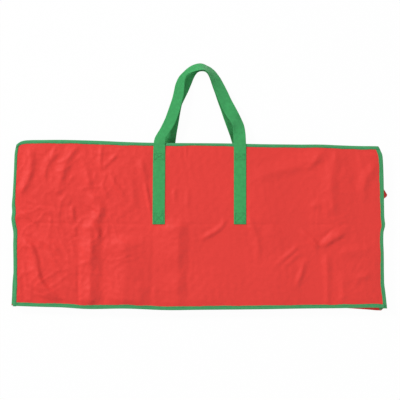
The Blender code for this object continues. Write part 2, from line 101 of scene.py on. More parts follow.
# The photographed outline of the front panel, outside its tape, in pixels
TOP_EDGE = (
    (12, 146.6), (15.5, 144.9), (18, 142.8), (21, 141.3), (24, 140.6), (30, 140.1), (42, 139.95),
    (60, 139.8), (80, 140.2), (100, 140.8), (120, 141.7), (140, 142.4), (160, 142.8),
    (180, 143.0), (200, 143.1), (225, 143.3), (247, 143.8), (262, 144.1), (280, 144.3),
    (300, 144.5), (322, 144.5),
    (340, 145.3), (360, 145.95), (378, 146.2), (386, 146.6),
)
BOTTOM_EDGE = (
    (10, 305.8), (15, 306.0), (25, 306.4), (40, 306.9), (64, 307.6), (83, 308.9), (127, 308.7),
    (166, 310.2), (200, 309.9), (261, 309.4), (300, 308.7), (340, 308.3), (360, 307.9),
    (376, 307.8), (388, 308.2),
)
LEFT_EDGE = (
    (138, 17.7), (143.5, 16.5), (148, 15.5), (152, 14.8), (159, 14.3), (168, 14.0), (175, 13.7),
    (194, 12.7), (206, 11.8), (212, 12.1), (219, 11.3), (224, 11.9), (231, 13.1), (245, 13.1),
    (258, 13.3), (270, 13.4), (285, 13.6), (296, 13.3), (304, 12.8), (312, 12.2),
)
RIGHT_EDGE = (
    (138, 374.5), (146.2, 378.4), (150, 380.3), (154.5, 382.3), (159, 382.9), (166, 383.3),
    (187, 383.9), (206, 384.2), (218, 384.5), (225, 385.2), (232, 383.7), (240, 383.4),
    (252, 383.8), (274, 384.1), (284, 384.4), (292, 385.4), (300, 386.3), (308.3, 387.2),
    (314, 387.8),
)

# How wide the front panel's tape shows, as a share of its usual width, by place in pixels
TAPE_SHOWN = {
    "top": (
        (20, 1.0), (70, 1.1), (110, 1.08), (140, 0.97), (180, 0.88), (200, 0.7), (222, 0.86),
        (280, 0.95), (320, 1.0),
    ),
    "bottom": ((10, 1.17), (390, 1.17)),
    "left": ((150, 0.88), (200, 0.92), (215, 1.24), (232, 1.2), (265, 1.14), (300, 1.0)),
    "right": ((150, 1.35), (180, 1.33), (200, 1.17), (310, 1.12)),
}

# Creases of the front panel: height in millimetres, reach in pixels of the flank toward the light
# and of the flank away from it, then the places along the crest
CREASES = (
    # upper left
    (1.9, 7, 4, (28.5, 144), (31, 160), (29.5, 175), (24, 188), (16, 196)),
    (1.9, 6, 3.5, (44, 184), (46.5, 168), (51, 159), (63, 149)),
    (2.3, 9, 6, (55, 198), (61, 180), (65, 165), (72, 152), (76, 141)),
    (1.7, 5, 5, (75, 153), (84, 163), (88, 178), (90.5, 193)),
    (-1.3, 2.5, 2.5, (87.5, 140), (88.5, 149), (90.5, 160)),
    (1.6, 3, 2.5, (102.5, 140), (100.5, 158), (101, 175)),
    (1.4, 3, 2, (100.5, 170), (110, 162), (119.5, 151)),
    (1.5, 3, 3, (109.5, 168), (114, 183), (122, 193), (122.5, 202)),
    (2.0, 2.5, 2.5, (100.5, 183), (104.5, 191), (108.5, 199)),
    (3.2, 9, 6, (86, 193), (95.5, 201), (100, 208), (98, 216), (90.5, 225)),
    (2.2, 4, 3, (71.5, 203), (72.5, 211), (74, 223)),
    (1.4, 3, 2.5, (73, 225), (76.5, 237)),
    (1.1, 4, 4, (36, 205), (50, 211), (66, 214)),
    (1.0, 4, 5, (58, 196), (64, 202), (70, 206)),
    (1.9, 2.5, 2.5, (20, 211), (30, 218), (39.5, 226)),
    (1.2, 2, 2, (12, 211), (15, 215.5), (19, 221)),
    (2.0, 6, 4, (141, 158), (143.5, 171), (148, 184)),
    (1.9, 2.5, 2.5, (144, 178), (148, 198), (152, 218)),
    (1.2, 5, 5, (128, 170), (133, 190), (134, 212)),
    # lower left
    (3.2, 10, 3.5, (18, 236), (31, 247), (36, 259), (37.5, 272), (42, 284), (51, 293), (63, 301)),
    (1.5, 5, 5, (20, 229), (45, 242), (64, 256)),
    (1.4, 4, 3, (46, 249), (53, 259), (61, 272)),
    (-1.3, 2.5, 3, (22.5, 272), (23, 285), (24, 303)),
    (3.7, 12, 12, (90.9, 216), (90.8, 245), (90.6, 275), (90.4, 314)),
    (1.9, 3, 4, (91, 222), (96.5, 230), (99.5, 241)),
    (-0.9, 2, 2, (78.5, 262), (78.3, 285), (78.5, 314)),
    (3.2, 22, 27, (124, 232), (124, 262), (122, 320)),
    (1.3, 8, 10, (139, 280), (141, 318)),
    (3.0, 24, 9, (179.5, 218), (178, 250), (177.5, 318)),
    (0.8, 4, 4, (155, 280), (155.5, 314)),
    # between the straps
    (-0.6, 1.2, 1.2, (184, 143), (184, 163)),
    (-0.6, 1.2, 1.2, (188.3, 143), (188, 162)),
    (-0.5, 1.2, 1.2, (178, 143), (178, 160)),
    (0.8, 2.5, 3, (174, 186), (175, 204)),
    (0.7, 3, 3, (188, 186), (187, 212)),
    (-0.55, 1.1, 1.1, (14, 222.8), (60, 223.5), (150, 224), (250, 224.4), (330, 224.6), (384, 225)),
    (1.6, 4, 3, (198, 241), (209, 235), (218.5, 229.5), (224, 223), (228, 216)),
    (1.3, 5, 4, (245, 212), (253.5, 228), (257, 240), (260.5, 264)),
    # upper right
    (1.9, 11, 8, (252, 178), (275, 172), (300, 165), (318, 156), (328, 146)),
    (1.2, 4, 4, (304, 172), (314, 163), (322, 155)),
    (2.3, 10, 8, (339, 146), (333, 168), (331, 190), (333.5, 218)),
    (-1.6, 10, 5, (350, 146), (356, 168), (355, 192)),
    (2.1, 7, 8, (380, 162), (368, 175), (363.5, 190), (367, 208)),
    (1.0, 4, 5, (286, 216), (293, 210), (301, 202)),
    (1.3, 5, 6, (307, 208), (318, 204), (330, 200)),
    (-1.8, 2.4, 2.4, (354, 149.5), (368, 151.5), (381, 155)),
    # lower right
    (2.6, 5, 3, (297, 228), (305, 234), (313, 241), (322, 252)),
    (3.4, 8, 3.5, (319, 248.5), (326, 244), (335, 238), (348, 232)),
    (-1.1, 2.5, 2.5, (317, 244), (325, 236), (335, 228)),
    (1.3, 3.5, 3, (272, 268), (287, 256), (302, 243)),
    (1.1, 3, 3, (281, 269), (293, 259), (303, 249)),
    (1.8, 4, 4, (293, 291), (301, 275), (306, 255)),
    (1.7, 5, 6, (326.5, 250), (327, 280), (327, 314)),
    (-1.0, 2, 2, (317, 284), (317, 314)),
    (1.6, 6, 9, (336, 254), (352, 251), (376, 248.5)),
    (1.5, 5, 6, (350, 281), (362, 277), (374, 274)),
    (1.0, 5, 6, (340, 268), (343, 290), (342, 312)),
    (1.2, 9, 9, (262, 226), (278, 238), (282, 252)),
)

# Edges of the front strap from its left foot over the loop to its right foot, in pixels: the outer
# edge's two places, then the inner edge's
FRONT_STRAP = (
    (152.5, 224.3, 165.0, 224.3), (152.4, 214, 165.0, 214), (152.5, 200, 165.1, 200),
    (152.6, 186, 165.2, 186), (152.8, 172, 165.3, 172), (153.0, 160, 165.3, 160),
    (153.3, 150, 165.3, 150), (153.6, 144.5, 165.2, 144.5), (154.5, 139.6, 165.4, 139.8),
    (156.7, 135.2, 166.1, 136.0), (159.5, 130.2, 168.8, 132.2), (162.2, 124.8, 172.4, 127.6),
    (165.1, 118.6, 175.6, 121.8), (168.7, 108.6, 179.2, 111.8), (172.0, 98.8, 182.2, 101.2),
    (173.8, 91.5, 183.9, 92.8), (175.3, 84.6, 184.5, 86.2), (178.2, 77.8, 184.9, 80.4),
    (182.6, 72.6, 187.0, 75.0), (188.2, 67.4, 191.0, 72.6), (194.6, 64.0, 196.4, 70.8),
    (201.2, 63.0, 201.4, 70.0), (207.4, 65.4, 205.4, 70.6), (213.6, 70.0, 208.4, 74.0),
    (219.4, 76.2, 211.4, 80.6), (223.8, 83.9, 213.9, 88.2), (227.6, 91.4, 217.0, 95.9),
    (231.0, 98.8, 220.0, 103.2), (235.2, 106.8, 223.6, 110.6), (239.3, 114.8, 227.6, 116.8),
    (242.2, 121.3, 231.0, 121.4), (244.2, 127.4, 232.7, 125.6), (245.3, 133.6, 233.2, 131.8),
    (245.9, 139.8, 233.4, 139.0), (246.2, 145.5, 233.6, 145.5), (246.4, 151, 233.7, 151),
    (246.4, 160, 233.7, 160), (246.4, 172, 233.7, 172), (246.4, 186, 233.7, 186),
    (246.4, 200, 233.7, 200), (246.4, 214, 233.7, 214), (246.4, 224.3, 233.7, 224.3),
)

# The rear strap's inner edge beyond the bag, with its width as seen from above, in pixels
REAR_STRAP = (
    (175.3, 141.9, 12.3), (176.1, 136.5, 12.0), (177.1, 130.5, 11.5), (178.2, 124.5, 11.2),
    (179.3, 118.0, 11.0), (180.4, 111.5, 11.0), (181.9, 104.5, 11.0), (184.6, 98.5, 11.0),
    (188.0, 91.5, 11.0), (191.2, 84.0, 10.6), (194.2, 76.8, 9.4), (197.6, 72.2, 7.6),
    (202.0, 71.2, 6.8), (206.3, 72.6, 7.2), (209.4, 77.6, 9.0), (212.4, 86.0, 10.8),
    (215.3, 94.0, 11.2), (218.0, 102.0, 11.4), (220.9, 110.0, 11.4), (223.6, 118.0, 11.4),
    (226.3, 125.5, 11.5), (228.6, 131.8, 11.7), (230.6, 137.2, 12.0), (232.2, 142.0, 12.3),
)

# How far inside the photographed outline each layer of cloth ends, in pixels
FRONT_INSET = 0.33
WALL_INSET = 0.85
BACK_INSET = 0.9
BACK_PEEK = 2.6

# The four sides of a panel: whether each runs along x, and which way it faces
SIDE_WAYS = {"left": (False, -1), "right": (False, 1), "bottom": (True, -1), "top": (True, 1)}

# The seam allowances inside the panels' edges: panel, side, and where along it each starts and ends
CORNER_SHARE = 0.78
LIPS = (
    ("front", "bottom", -1, 1), ("front", "top", -1, 1), ("front", "right", -1, 1),
    ("front", "left", CORNER_SHARE, 1), ("front", "left", -1, -CORNER_SHARE),
    ("back", "left", CORNER_SHARE, 1), ("back", "bottom", -1, -0.15),
)

# Sizes that the photograph doesn't settle, in metres
MM = 0.001
CLOTH_THICKNESS = 0.0005
GRID = 0.004
WALL_GRID = 0.006
TAPE_GRID = 0.004

# Walls: how far inside the panel's edge and the seam they start, how much they narrow toward the
# fold for each metre, how far the seam's shift and the calm by a seam reach, and where they bend
WALL_EDGE = 0.001
WALL_PLAY = 0.0012
WALL_SLOPE = 0.095
SEAM_RUN = 0.05
CALM_RUN = 0.03

# Depths of the seam allowances: the least, the most for each panel, and the most by the zip
LIP_LEAST = 0.0040
LIP_MOST = {"front": 0.0195, "back": 0.0160}
LIP_BY_ZIP = 0.0055

# Folded tape: its clearance from the cloth, the height of its face, its width on the panel, and
# how much higher it lies where it crosses another
TAPE_PLAY = 0.0003
TAPE_FACE = 0.0011
TAPE_REACH = 0.0092
CROSSING_TAPE_RISE = 0.0011

# Webbing: its thickness, its gap to the floor, places across its face as shares of its half width,
# the front loop's length and its height at the far end, and the front upper box's two ends
STRAP_THICKNESS = 0.0016
STRAP_GAP = 0.0003
STRAP_SPOTS = (-0.93, -0.8, -0.55, -0.28, 0, 0.28, 0.55, 0.8, 0.93)
LOOP_REACH = 0.237
LOOP_LEVEL = 0.0205
FRONT_TOP_BOX = (0.0820, 0.1003)

# Heights of the panels' cloth, in millimetres
CREASE_DEPTH = 2.0
EDGE_DROOP = 2.0
SOFT_STOP = 0.6

# The folded walls' layers: the panel each is sewn to, the way it faces, and its half's name
LAYERS = (("back", -1, "lower"), ("front", 1, "upper"))
SIDES = (("left", -1), ("right", 1))


def smooth(share):
    share = np.clip(share, 0, 1)
    return share * share * (3 - 2 * share)


def read_line(points, at):
    """A smooth line through given points, read at the first of their two values."""
    table = np.array(points, float)
    a, b = table[:, 0], table[:, 1]
    slope = np.gradient(b, a)
    held = np.clip(at, a[0], a[-1])
    row = np.clip(np.searchsorted(a, held) - 1, 0, len(a) - 2)
    run = a[row + 1] - a[row]
    t = (held - a[row]) / run
    value = (
        (2 * t**3 - 3 * t**2 + 1) * b[row]
        + (t**3 - 2 * t**2 + t) * run * slope[row]
        + (3 * t**2 - 2 * t**3) * b[row + 1]
        + (t**3 - t**2) * run * slope[row + 1]
    )
    return value + np.where(at < a[0], slope[0], slope[-1]) * (at - held)


def through_rows(rows, steps):
    """A smooth curve through rows of numbers, with that many steps between each two."""
    table = np.array(rows, float)
    padded = np.concatenate([table[:1], table, table[-1:]])
    found = []
    for index in range(len(table) - 1):
        a, b, c, d = padded[index : index + 4]
        for step in range(steps):
            t = step / steps
            second, third = 2 * a - 5 * b + 4 * c - d, 3 * b - a - 3 * c + d
            found.append(0.5 * (2 * b + (c - a) * t + second * t**2 + third * t**3))
    found.append(table[-1])
    return np.array(found)


def distances(points):
    """How far along a line of points each of them is."""
    return np.concatenate([[0], np.cumsum(np.linalg.norm(np.diff(points, axis=0), axis=1))])


def photo_place(column, row):
    """The place in the bag's frame of a pixel of the photograph."""
    x = (np.asarray(column, float) - MIDDLE_PX[0]) * PIXEL
    y = (MIDDLE_PX[1] - np.asarray(row, float)) * PIXEL + centre_y
    return x, y


def photo_pixel(x, y):
    return MIDDLE_PX[0] + x / PIXEL, MIDDLE_PX[1] - (y - centre_y) / PIXEL


def waves(x, y, length, seed, count=7):
    """Even random swells of about that length, from -1 to 1."""
    draw = np.random.default_rng(seed)
    total = np.zeros(np.broadcast(x, y).shape)
    for _ in range(count):
        turn = draw.uniform(0, 2 * math.pi)
        stretch = draw.uniform(0.75, 1.35)
        phase = draw.uniform(0, 2 * math.pi)
        along = x * math.cos(turn) + y * math.sin(turn)
        total += np.sin(along * 2 * math.pi / (length * stretch) + phase)
    return total / math.sqrt(count)


def crinkle(x, y, length, seed):
    """Sharp-crested random creases, from 0 to about 1."""
    bend = length * 0.35
    dx = bend * waves(x, y, length * 1.7, seed + 1)
    dy = bend * waves(x, y, length * 1.7, seed + 2)
    return np.clip(1 - np.abs(waves(x + dx, y + dy, length, seed)) * 1.1, 0, 1) ** 1.6


def crease_heights(column, row, creases):
    """The height in millimetres of listed creases, each with a crisp crest and fading ends."""
    total = np.zeros(np.shape(column))
    for height, near_reach, far_reach, *places in creases:
        line = through_rows(places, 4)
        reach = max(near_reach, far_reach)
        low, high = line.min(0) - reach, line.max(0) + reach
        close = (column > low[0]) & (column < high[0]) & (row > low[1]) & (row < high[1])
        if not close.any():
            continue
        c, r = column[close], row[close]
        overall = line[-1] - line[0]
        sense = 1 if overall[0] * LIGHT_RUN[1] - overall[1] * LIGHT_RUN[0] > 0 else -1
        reached = distances(line)
        lengths = np.diff(reached)
        nearest = np.full(c.shape, 1e9)
        along, side = np.zeros(c.shape), np.zeros(c.shape)
        for index, start in enumerate(line[:-1]):
            run = line[index + 1] - start
            t = np.clip(((c - start[0]) * run[0] + (r - start[1]) * run[1]) / (run @ run), 0, 1)
            dc, dr = c - start[0] - t * run[0], r - start[1] - t * run[1]
            away = np.hypot(dc, dr)
            closer = away < nearest
            nearest = np.where(closer, away, nearest)
            along = np.where(closer, reached[index] + t * lengths[index], along)
            side = np.where(closer, sense * (run[0] * dr - run[1] * dc), side)
        round_off = 0.35 + 0.06 * reach
        share = np.hypot(nearest, round_off) - round_off
        share = share / np.where(side > 0, far_reach, near_reach)
        fade_run = min(reached[-1] * 0.35, 12)
        fade = smooth(along / fade_run) * smooth((reached[-1] - along) / fade_run)
        swell = 1 + 0.22 * waves(along, 0 * along, 26, int(abs(places[0][0])) + 5, 3)
        total[close] += height * fade * swell * np.clip(1 - share, 0, 1) ** 1.3
    return total


def plan(x, y, inset=0.0):
    """Where a point of the flat panel lies within the photographed outline."""
    column = MIDDLE_PX[0] + x / PIXEL
    row = MIDDLE_PX[1] - y / PIXEL
    across = (x + half_length) / (2 * half_length)
    up = (y + half_height) / (2 * half_height)
    for _ in range(3):
        left = read_line(LEFT_EDGE, row) + inset
        right = read_line(RIGHT_EDGE, row) - inset
        top = read_line(TOP_EDGE, column) + inset
        bottom = read_line(BOTTOM_EDGE, column) - inset
        column = left + across * (right - left)
        row = bottom + up * (top - bottom)
    return photo_place(column, row)


def under_strap(column, row):
    """1 where webbing is sewn over the front panel, 0 away from it."""
    left = smooth((column - 149) / 3) * smooth((168.5 - column) / 3)
    right = smooth((column - 230) / 3) * smooth((250 - column) / 3)
    return (left + right) * smooth((229 - row) / 4)


def near_edge(x, y):
    """How far inside the panel's nearest edge a point is, in pixels."""
    return np.minimum((half_length - np.abs(x)) / PIXEL, (half_height - np.abs(y)) / PIXEL)


def front_surface(x, y):
    """The middle of the front panel's cloth, with its creases."""
    wx, wy = plan(x, y, FRONT_INSET)
    column, row = photo_pixel(wx, wy)
    left_share = 0.35 + 0.65 * smooth((150 - column) / 60) + 0.2 * smooth((column - 270) / 50)
    broad = 0.7 * waves(column, row, 80, 3)
    fine = left_share * (0.7 * crinkle(column, row, 26, 21) + 0.35 * crinkle(column, row, 13, 31))
    fine += 0.12 * waves(column, row, 6.5, 41)
    height = crease_heights(column, row, CREASES) + fine + broad
    droop = np.clip(1 - (half_height + y) / PIXEL / 10, 0, 1) ** 1.5
    droop = np.maximum(droop, 0.7 * np.clip(1 - (half_length - x) / PIXEL / 9, 0, 1) ** 1.5)
    calm = 0.3 + 0.7 * smooth((near_edge(x, y) - 1) / 9)
    calm = calm * (1 - 0.85 * under_strap(column, row))
    share = 1.1 + 0.15 * smooth((row - 195) / 30) - 0.25 * smooth((column - 120) / 160)
    height = 0.35 + CREASE_DEPTH * share * height * calm - EDGE_DROOP * droop
    # Deep hollows level out softly over the layers beneath
    floor = -SOFT_STOP - EDGE_DROOP * droop
    below = np.clip(height - floor - SOFT_STOP, -20, 0)
    hollow = floor + SOFT_STOP * np.exp(below / SOFT_STOP)
    height = np.where(height < floor + SOFT_STOP, hollow, height)
    return np.stack([wx, wy, front_level + height * MM + 0 * wx], axis=-1)


def back_peek(column, row):
    """1 where the back panel's edge shows beyond the front's, 0 elsewhere."""
    return smooth((row - 256) / 32) * smooth((60 - column) / 40)


def back_plan(x, y):
    """The back panel's outline: a little smaller, but for the strip shown at the lower left."""
    wx, wy = plan(x, y, BACK_INSET)
    column, row = photo_pixel(wx, wy)
    return wx - back_peek(column, row) * BACK_PEEK * PIXEL, wy


def wall_plan(x, y):
    """The walls sewn to the front panel end inside its tape."""
    return plan(x, y, WALL_INSET)


LAYER_PLAN = {"back": back_plan, "front": wall_plan}


def layer_level(lower_level, outward):
    """The height of a folded layer: the lower one's, or its mirror image over the middle."""
    return mid_level + outward * (mid_level - lower_level)


def along_edge(surface, side, at, inward):
    """Points of a panel at places along one side, that far inside its edge."""
    along_x, sign = SIDE_WAYS[side]
    across = sign * ((half_height if along_x else half_length) - inward) + 0 * at
    return surface(at, across) if along_x else surface(across, at)


def tape_shown(side, at):
    """How wide the front panel's tape shows at places along one side."""
    column, row = photo_pixel(at, centre_y + at)
    return read_line(TAPE_SHOWN[side], column if SIDE_WAYS[side][0] else row)


def tape_crossing(at):
    """1 where the tapes of the long sides lie over those of the ends, 0 elsewhere."""
    return smooth((np.abs(at) - (half_length - TAPE_REACH - 0.003)) / 0.003)


def back_surface(x, y):
    """The middle of the back panel's cloth, which lies on the webbing and sags to the floor."""
    wx, wy = back_plan(x, y)
    column, row = photo_pixel(wx, wy)
    webbing = np.maximum(
        smooth((column - 157) / 6) * smooth((181 - column) / 6),
        smooth((column - 226) / 6) * smooth((251 - column) / 6),
    ) * smooth((232 - row) / 8)
    sag = 1.3 * smooth((near_edge(x, y) - 2) / 14) * (1 - webbing)
    fine = 0.5 * crinkle(column, row, 30, 51) + 0.25 * waves(column, row, 60, 52)
    height = 0.25 - sag + fine * (1 - 0.7 * webbing)
    return np.stack([wx, wy, back_level + height * MM], axis=-1)


def add_object(name, data):
    obj = bpy.data.objects.new(name, data)
    bpy.context.scene.collection.objects.link(obj)
    return obj


def new_mesh_object(name, vertices, faces, uv=None, smooth_faces=True):
    mesh = bpy.data.meshes.new(name)
    mesh.from_pydata([tuple(v) for v in vertices], [], [tuple(int(i) for i in f) for f in faces])
    if uv is not None:
        layer = mesh.uv_layers.new(name="UVMap")
        loops = np.zeros(len(mesh.loops), np.int32)
        mesh.loops.foreach_get("vertex_index", loops)
        layer.data.foreach_set("uv", np.asarray(uv, np.float32)[loops].ravel())
    mesh.validate()
    if smooth_faces:
        mesh.shade_smooth()
    return add_object(name, mesh)


def reshape(obj, change):
    """Runs changes on an object's mesh, such as turning its faces outward."""
    shape = bmesh.new()
    shape.from_mesh(obj.data)
    change(shape)
    shape.to_mesh(obj.data)
    shape.free()


def face_outward(shape):
    bmesh.ops.recalc_face_normals(shape, faces=shape.faces)


def round_edges(shape, edges, reach, segments):
    bmesh.ops.bevel(
        shape, geom=edges, offset=reach, segments=segments, profile=0.5, affect="EDGES",
        clamp_overlap=True,
    )


def grid_faces(rows, columns):
    index = np.arange(rows * columns).reshape(rows, columns)
    a, b = index[:-1, :-1].ravel(), index[:-1, 1:].ravel()
    c, d = index[1:, 1:].ravel(), index[1:, :-1].ravel()
    return np.stack([a, b, c, d], axis=1)


def cloth_sheet(name, places, uv, facing=1):
    """Cloth through a grid of places, given its thickness."""
    rows, columns = places.shape[:2]
    faces = grid_faces(rows, columns)
    if facing < 0:
        faces = faces[:, ::-1]
    obj = new_mesh_object(name, places.reshape(-1, 3), faces, uv.reshape(-1, 2))
    solid = obj.modifiers.new("thickness", "SOLIDIFY")
    solid.thickness = CLOTH_THICKNESS
    solid.offset = 0
    return obj


def even(low, high, step):
    return np.linspace(low, high, max(2, int(round((high - low) / step)) + 1))


def swept(name, rings, uv_rings):
    """A closed tube through rings of points, all with as many points."""
    rings = np.asarray(rings, float)
    count, around = rings.shape[:2]
    index = np.arange(count * around).reshape(count, around)
    following = np.roll(index, -1, axis=1)
    corners = (index[:-1], index[1:], following[1:], following[:-1])
    quads = np.stack([corner.ravel() for corner in corners], axis=1)
    faces = [tuple(q) for q in quads] + [tuple(index[0]), tuple(index[-1][::-1])]
    obj = new_mesh_object(name, rings.reshape(-1, 3), faces, np.asarray(uv_rings).reshape(-1, 2))
    reshape(obj, face_outward)
    return obj


def set_material(obj, material):
    obj.data.materials.clear()
    obj.data.materials.append(material)


def finish_piece(piece, material, *nodes, body=None):
    """Gives a piece its material and its body unless it blends, and hides the solids it stands for.
    """
    set_material(piece, material)
    if body:
        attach(piece, body)
    if nodes:
        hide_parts(*nodes)


# Materials


def shader_tree(name):
    material = bpy.data.materials.get(name)
    if material:
        return material, None, None
    material = bpy.data.materials.new(name)
    material.use_nodes = True
    tree = material.node_tree
    return material, tree, tree.nodes["Principled BSDF"]


def add_node(tree, kind, sources=None, **settings):
    """Adds a node, setting its inputs to values or joining them to other nodes' outputs."""
    made = tree.nodes.new(kind)
    for key, value in settings.items():
        setattr(made, key, value)
    for key, value in (sources or {}).items():
        socket = made.inputs[key]
        if isinstance(value, bpy.types.NodeSocket):
            tree.links.new(value, socket)
        else:
            socket.default_value = value
    return made


def math_node(tree, operation, first, second=0.0):
    return add_node(tree, "ShaderNodeMath", {0: first, 1: second}, operation=operation).outputs[0]


def surface_points(tree, scale):
    """The piece's own flat measure in metres, times a scale along each way."""
    uv = add_node(tree, "ShaderNodeUVMap", uv_map="UVMap").outputs["UV"]
    return add_node(
        tree, "ShaderNodeMapping", {"Vector": uv, "Scale": (scale[0], scale[1], 1)}
    ).outputs["Vector"]


def object_points(tree):
    return add_node(tree, "ShaderNodeTexCoord").outputs["Object"]


def noise(tree, points, scale, detail=2.0, roughness=0.5):
    sources = {"Vector": points, "Scale": scale, "Detail": detail, "Roughness": roughness}
    return add_node(tree, "ShaderNodeTexNoise", sources).outputs["Fac"]


def between(tree, share, low, high):
    """Turns a value from 0 to 1 into one between two others."""
    sources = {"Value": share, "To Min": low, "To Max": high}
    return add_node(tree, "ShaderNodeMapRange", sources).outputs["Result"]


def bands(tree, points, direction, pitch, distortion=0.0):
    """Even ribs across one direction; the wave texture repeats 20 / (2 pi) times a unit."""
    return add_node(
        tree,
        "ShaderNodeTexWave",
        {"Vector": points, "Scale": 2 * math.pi / 20 / pitch, "Distortion": distortion},
        wave_type="BANDS",
        bands_direction=direction,
        wave_profile="SIN",
    ).outputs["Fac"]


def blend_colours(tree, share, first, second):
    mix = add_node(tree, "ShaderNodeMix", {"Factor": share}, data_type="RGBA")
    for name, value in (("A", first), ("B", second)):
        socket = next(s for s in mix.inputs if s.name == name and s.type == "RGBA")
        if isinstance(value, bpy.types.NodeSocket):
            tree.links.new(value, socket)
        else:
            socket.default_value = (*value[:3], 1)
    return next(s for s in mix.outputs if s.type == "RGBA")


def tinted(colour, factor):
    return tuple(min(1.0, c * factor) for c in colour[:3])


def tint_over(tree, base, pattern, amount, tint):
    """Lays a tint over a colour as far as a pattern asks for it."""
    return blend_colours(tree, math_node(tree, "MULTIPLY", pattern, amount), base, tint)


def bumps(tree, shader, layers):
    """Chains bump nodes, each with a height and its depth in metres."""
    normal = None
    for height, depth, strength in layers:
        sources = {"Height": height, "Distance": depth, "Strength": strength}
        if normal is not None:
            sources["Normal"] = normal
        normal = add_node(tree, "ShaderNodeBump", sources).outputs["Normal"]
    tree.links.new(normal, shader.inputs["Normal"])


def finish_look(tree, shader, base, values, layers):
    """Joins a colour to a shader, sets its other inputs and adds its bumps."""
    values["Base Color"] = base
    for key, value in values.items():
        if isinstance(value, bpy.types.NodeSocket):
            tree.links.new(value, shader.inputs[key])
        else:
            shader.inputs[key].default_value = value
    bumps(tree, shader, layers)


def cloth_material():
    material, tree, shader = shader_tree("red_coated_cloth")
    if tree is None:
        return material
    look = bpy.context.scene.tree_bag_cloth
    points = surface_points(tree, (1, 1))
    cloud = noise(tree, points, 5.5, 3.0, 0.55)
    mottle = noise(tree, points, 60.0, 2.0, 0.6)
    warp = bands(tree, points, "X", look.weave_pitch)
    weft = bands(tree, points, "Y", look.weave_pitch)
    weave = math_node(tree, "MULTIPLY", warp, weft)
    crumple = noise(tree, points, 28.0, 4.0, 0.6)
    pucker = noise(tree, points, 140.0, 2.0, 0.5)
    base = blend_colours(tree, cloud, tinted(look.colour, 0.93), tinted(look.colour, 1.07))
    base = tint_over(tree, base, mottle, 0.25, tinted(look.colour, 0.86))
    base = tint_over(tree, base, weave, 0.10, tinted(look.colour, 1.25))
    values = {
        "Roughness": between(tree, mottle, look.roughness - 0.06, look.roughness + 0.08),
        "Sheen Weight": 0.08,
        "Sheen Roughness": 0.45,
        "Specular IOR Level": 0.24,
    }
    layers = ((crumple, 0.0022, 0.55), (pucker, 0.0004, 0.35), (weave, 0.00010, 0.5))
    finish_look(tree, shader, base, values, layers)
    return material


def tape_material():
    material, tree, shader = shader_tree("green_binding_tape")
    if tree is None:
        return material
    look = bpy.context.scene.tree_bag_tape
    points = surface_points(tree, (1, 1))
    ribs = bands(tree, points, "X", look.rib_pitch, 0.4)
    threads = bands(tree, points, "Y", look.rib_pitch * 0.7)
    cloud = noise(tree, points, 35.0, 3.0, 0.6)
    base = blend_colours(tree, cloud, tinted(look.colour, 0.86), tinted(look.colour, 1.14))
    base = tint_over(tree, base, ribs, 0.22, tinted(look.colour, 0.62))
    values = {
        "Roughness": 0.72, "Sheen Weight": 0.15, "Sheen Roughness": 0.5, "Specular IOR Level": 0.25,
    }
    layers = ((cloud, 0.0006, 0.4), (ribs, 0.00018, 0.7), (threads, 0.00008, 0.5))
    finish_look(tree, shader, base, values, layers)
    return material


def webbing_material():
    material, tree, shader = shader_tree("green_woven_webbing")
    if tree is None:
        return material
    look = bpy.context.scene.tree_bag_webbing
    points = surface_points(tree, (1, 1))
    columns = bands(tree, points, "X", look.rib_pitch)
    picks = bands(tree, points, "Y", look.rib_pitch * 0.62, 0.3)
    slant = bands(tree, surface_points(tree, (1, 0.9)), "DIAGONAL", look.rib_pitch * 1.2, 0.5)
    weave = math_node(tree, "MAXIMUM", columns, picks)
    cloud = noise(tree, points, 85.0, 3.0, 0.6)
    fuzz = noise(tree, points, 900.0, 2.0, 0.7)
    base = blend_colours(tree, cloud, tinted(look.colour, 0.70), tinted(look.colour, 1.30))
    base = tint_over(tree, base, slant, 0.16, tinted(look.colour, 0.72))
    # Painted highlight: the raised columns of yarn are drawn lighter, as their lit tops would look
    base = tint_over(tree, base, columns, 0.14, tinted(look.colour, 1.35))
    values = {
        "Roughness": 0.80, "Sheen Weight": 0.20, "Sheen Roughness": 0.5, "Specular IOR Level": 0.2,
    }
    layers = ((weave, 0.00035, 0.8), (slant, 0.00015, 0.5), (fuzz, 0.0001, 0.4))
    finish_look(tree, shader, base, values, layers)
    return material


def thread_material():
    material, tree, shader = shader_tree("green_sewing_thread")
    if tree is None:
        return material
    look = bpy.context.scene.tree_bag_stitches
    twist = noise(tree, object_points(tree), 1400.0)
    # Painted shade: the thread's colour is partly its own green and partly darkened to stand for
    # the shade of the grooves it is sewn into
    base = blend_colours(tree, twist, tinted(look.colour, 0.7), tinted(look.colour, 1.25))
    values = {"Roughness": 0.55, "Sheen Weight": 0.1}
    finish_look(tree, shader, base, values, ((twist, 0.0001, 0.5),))
    return material


def coil_material():
    material, tree, shader = shader_tree("green_nylon_coil")
    if tree is None:
        return material
    look = bpy.context.scene.tree_bag_zip
    cloud = noise(tree, object_points(tree), 90.0, 3.0)
    base = blend_colours(tree, cloud, tinted(look.coil_colour, 0.85), tinted(look.coil_colour, 1.2))
    values = {"Roughness": 0.38, "Specular IOR Level": 0.5}
    finish_look(tree, shader, base, values, ((cloud, 0.0001, 0.3),))
    return material


def nickel_material():
    material, tree, shader = shader_tree("plated_nickel")
    if tree is None:
        return material
    points = object_points(tree)
    brushed = add_node(tree, "ShaderNodeMapping", {"Vector": points, "Scale": (60, 900, 900)})
    grain = noise(tree, brushed.outputs["Vector"], 1.0, 3.0, 0.6)
    wear = noise(tree, points, 260.0, 4.0)
    base = blend_colours(tree, wear, (0.58, 0.58, 0.57), (0.72, 0.72, 0.70))
    values = {"Metallic": 1.0, "Roughness": between(tree, grain, 0.2, 0.38)}
    finish_look(tree, shader, base, values, ((grain, 0.00004, 0.3),))
    return material


# Small shapes repeated along paths


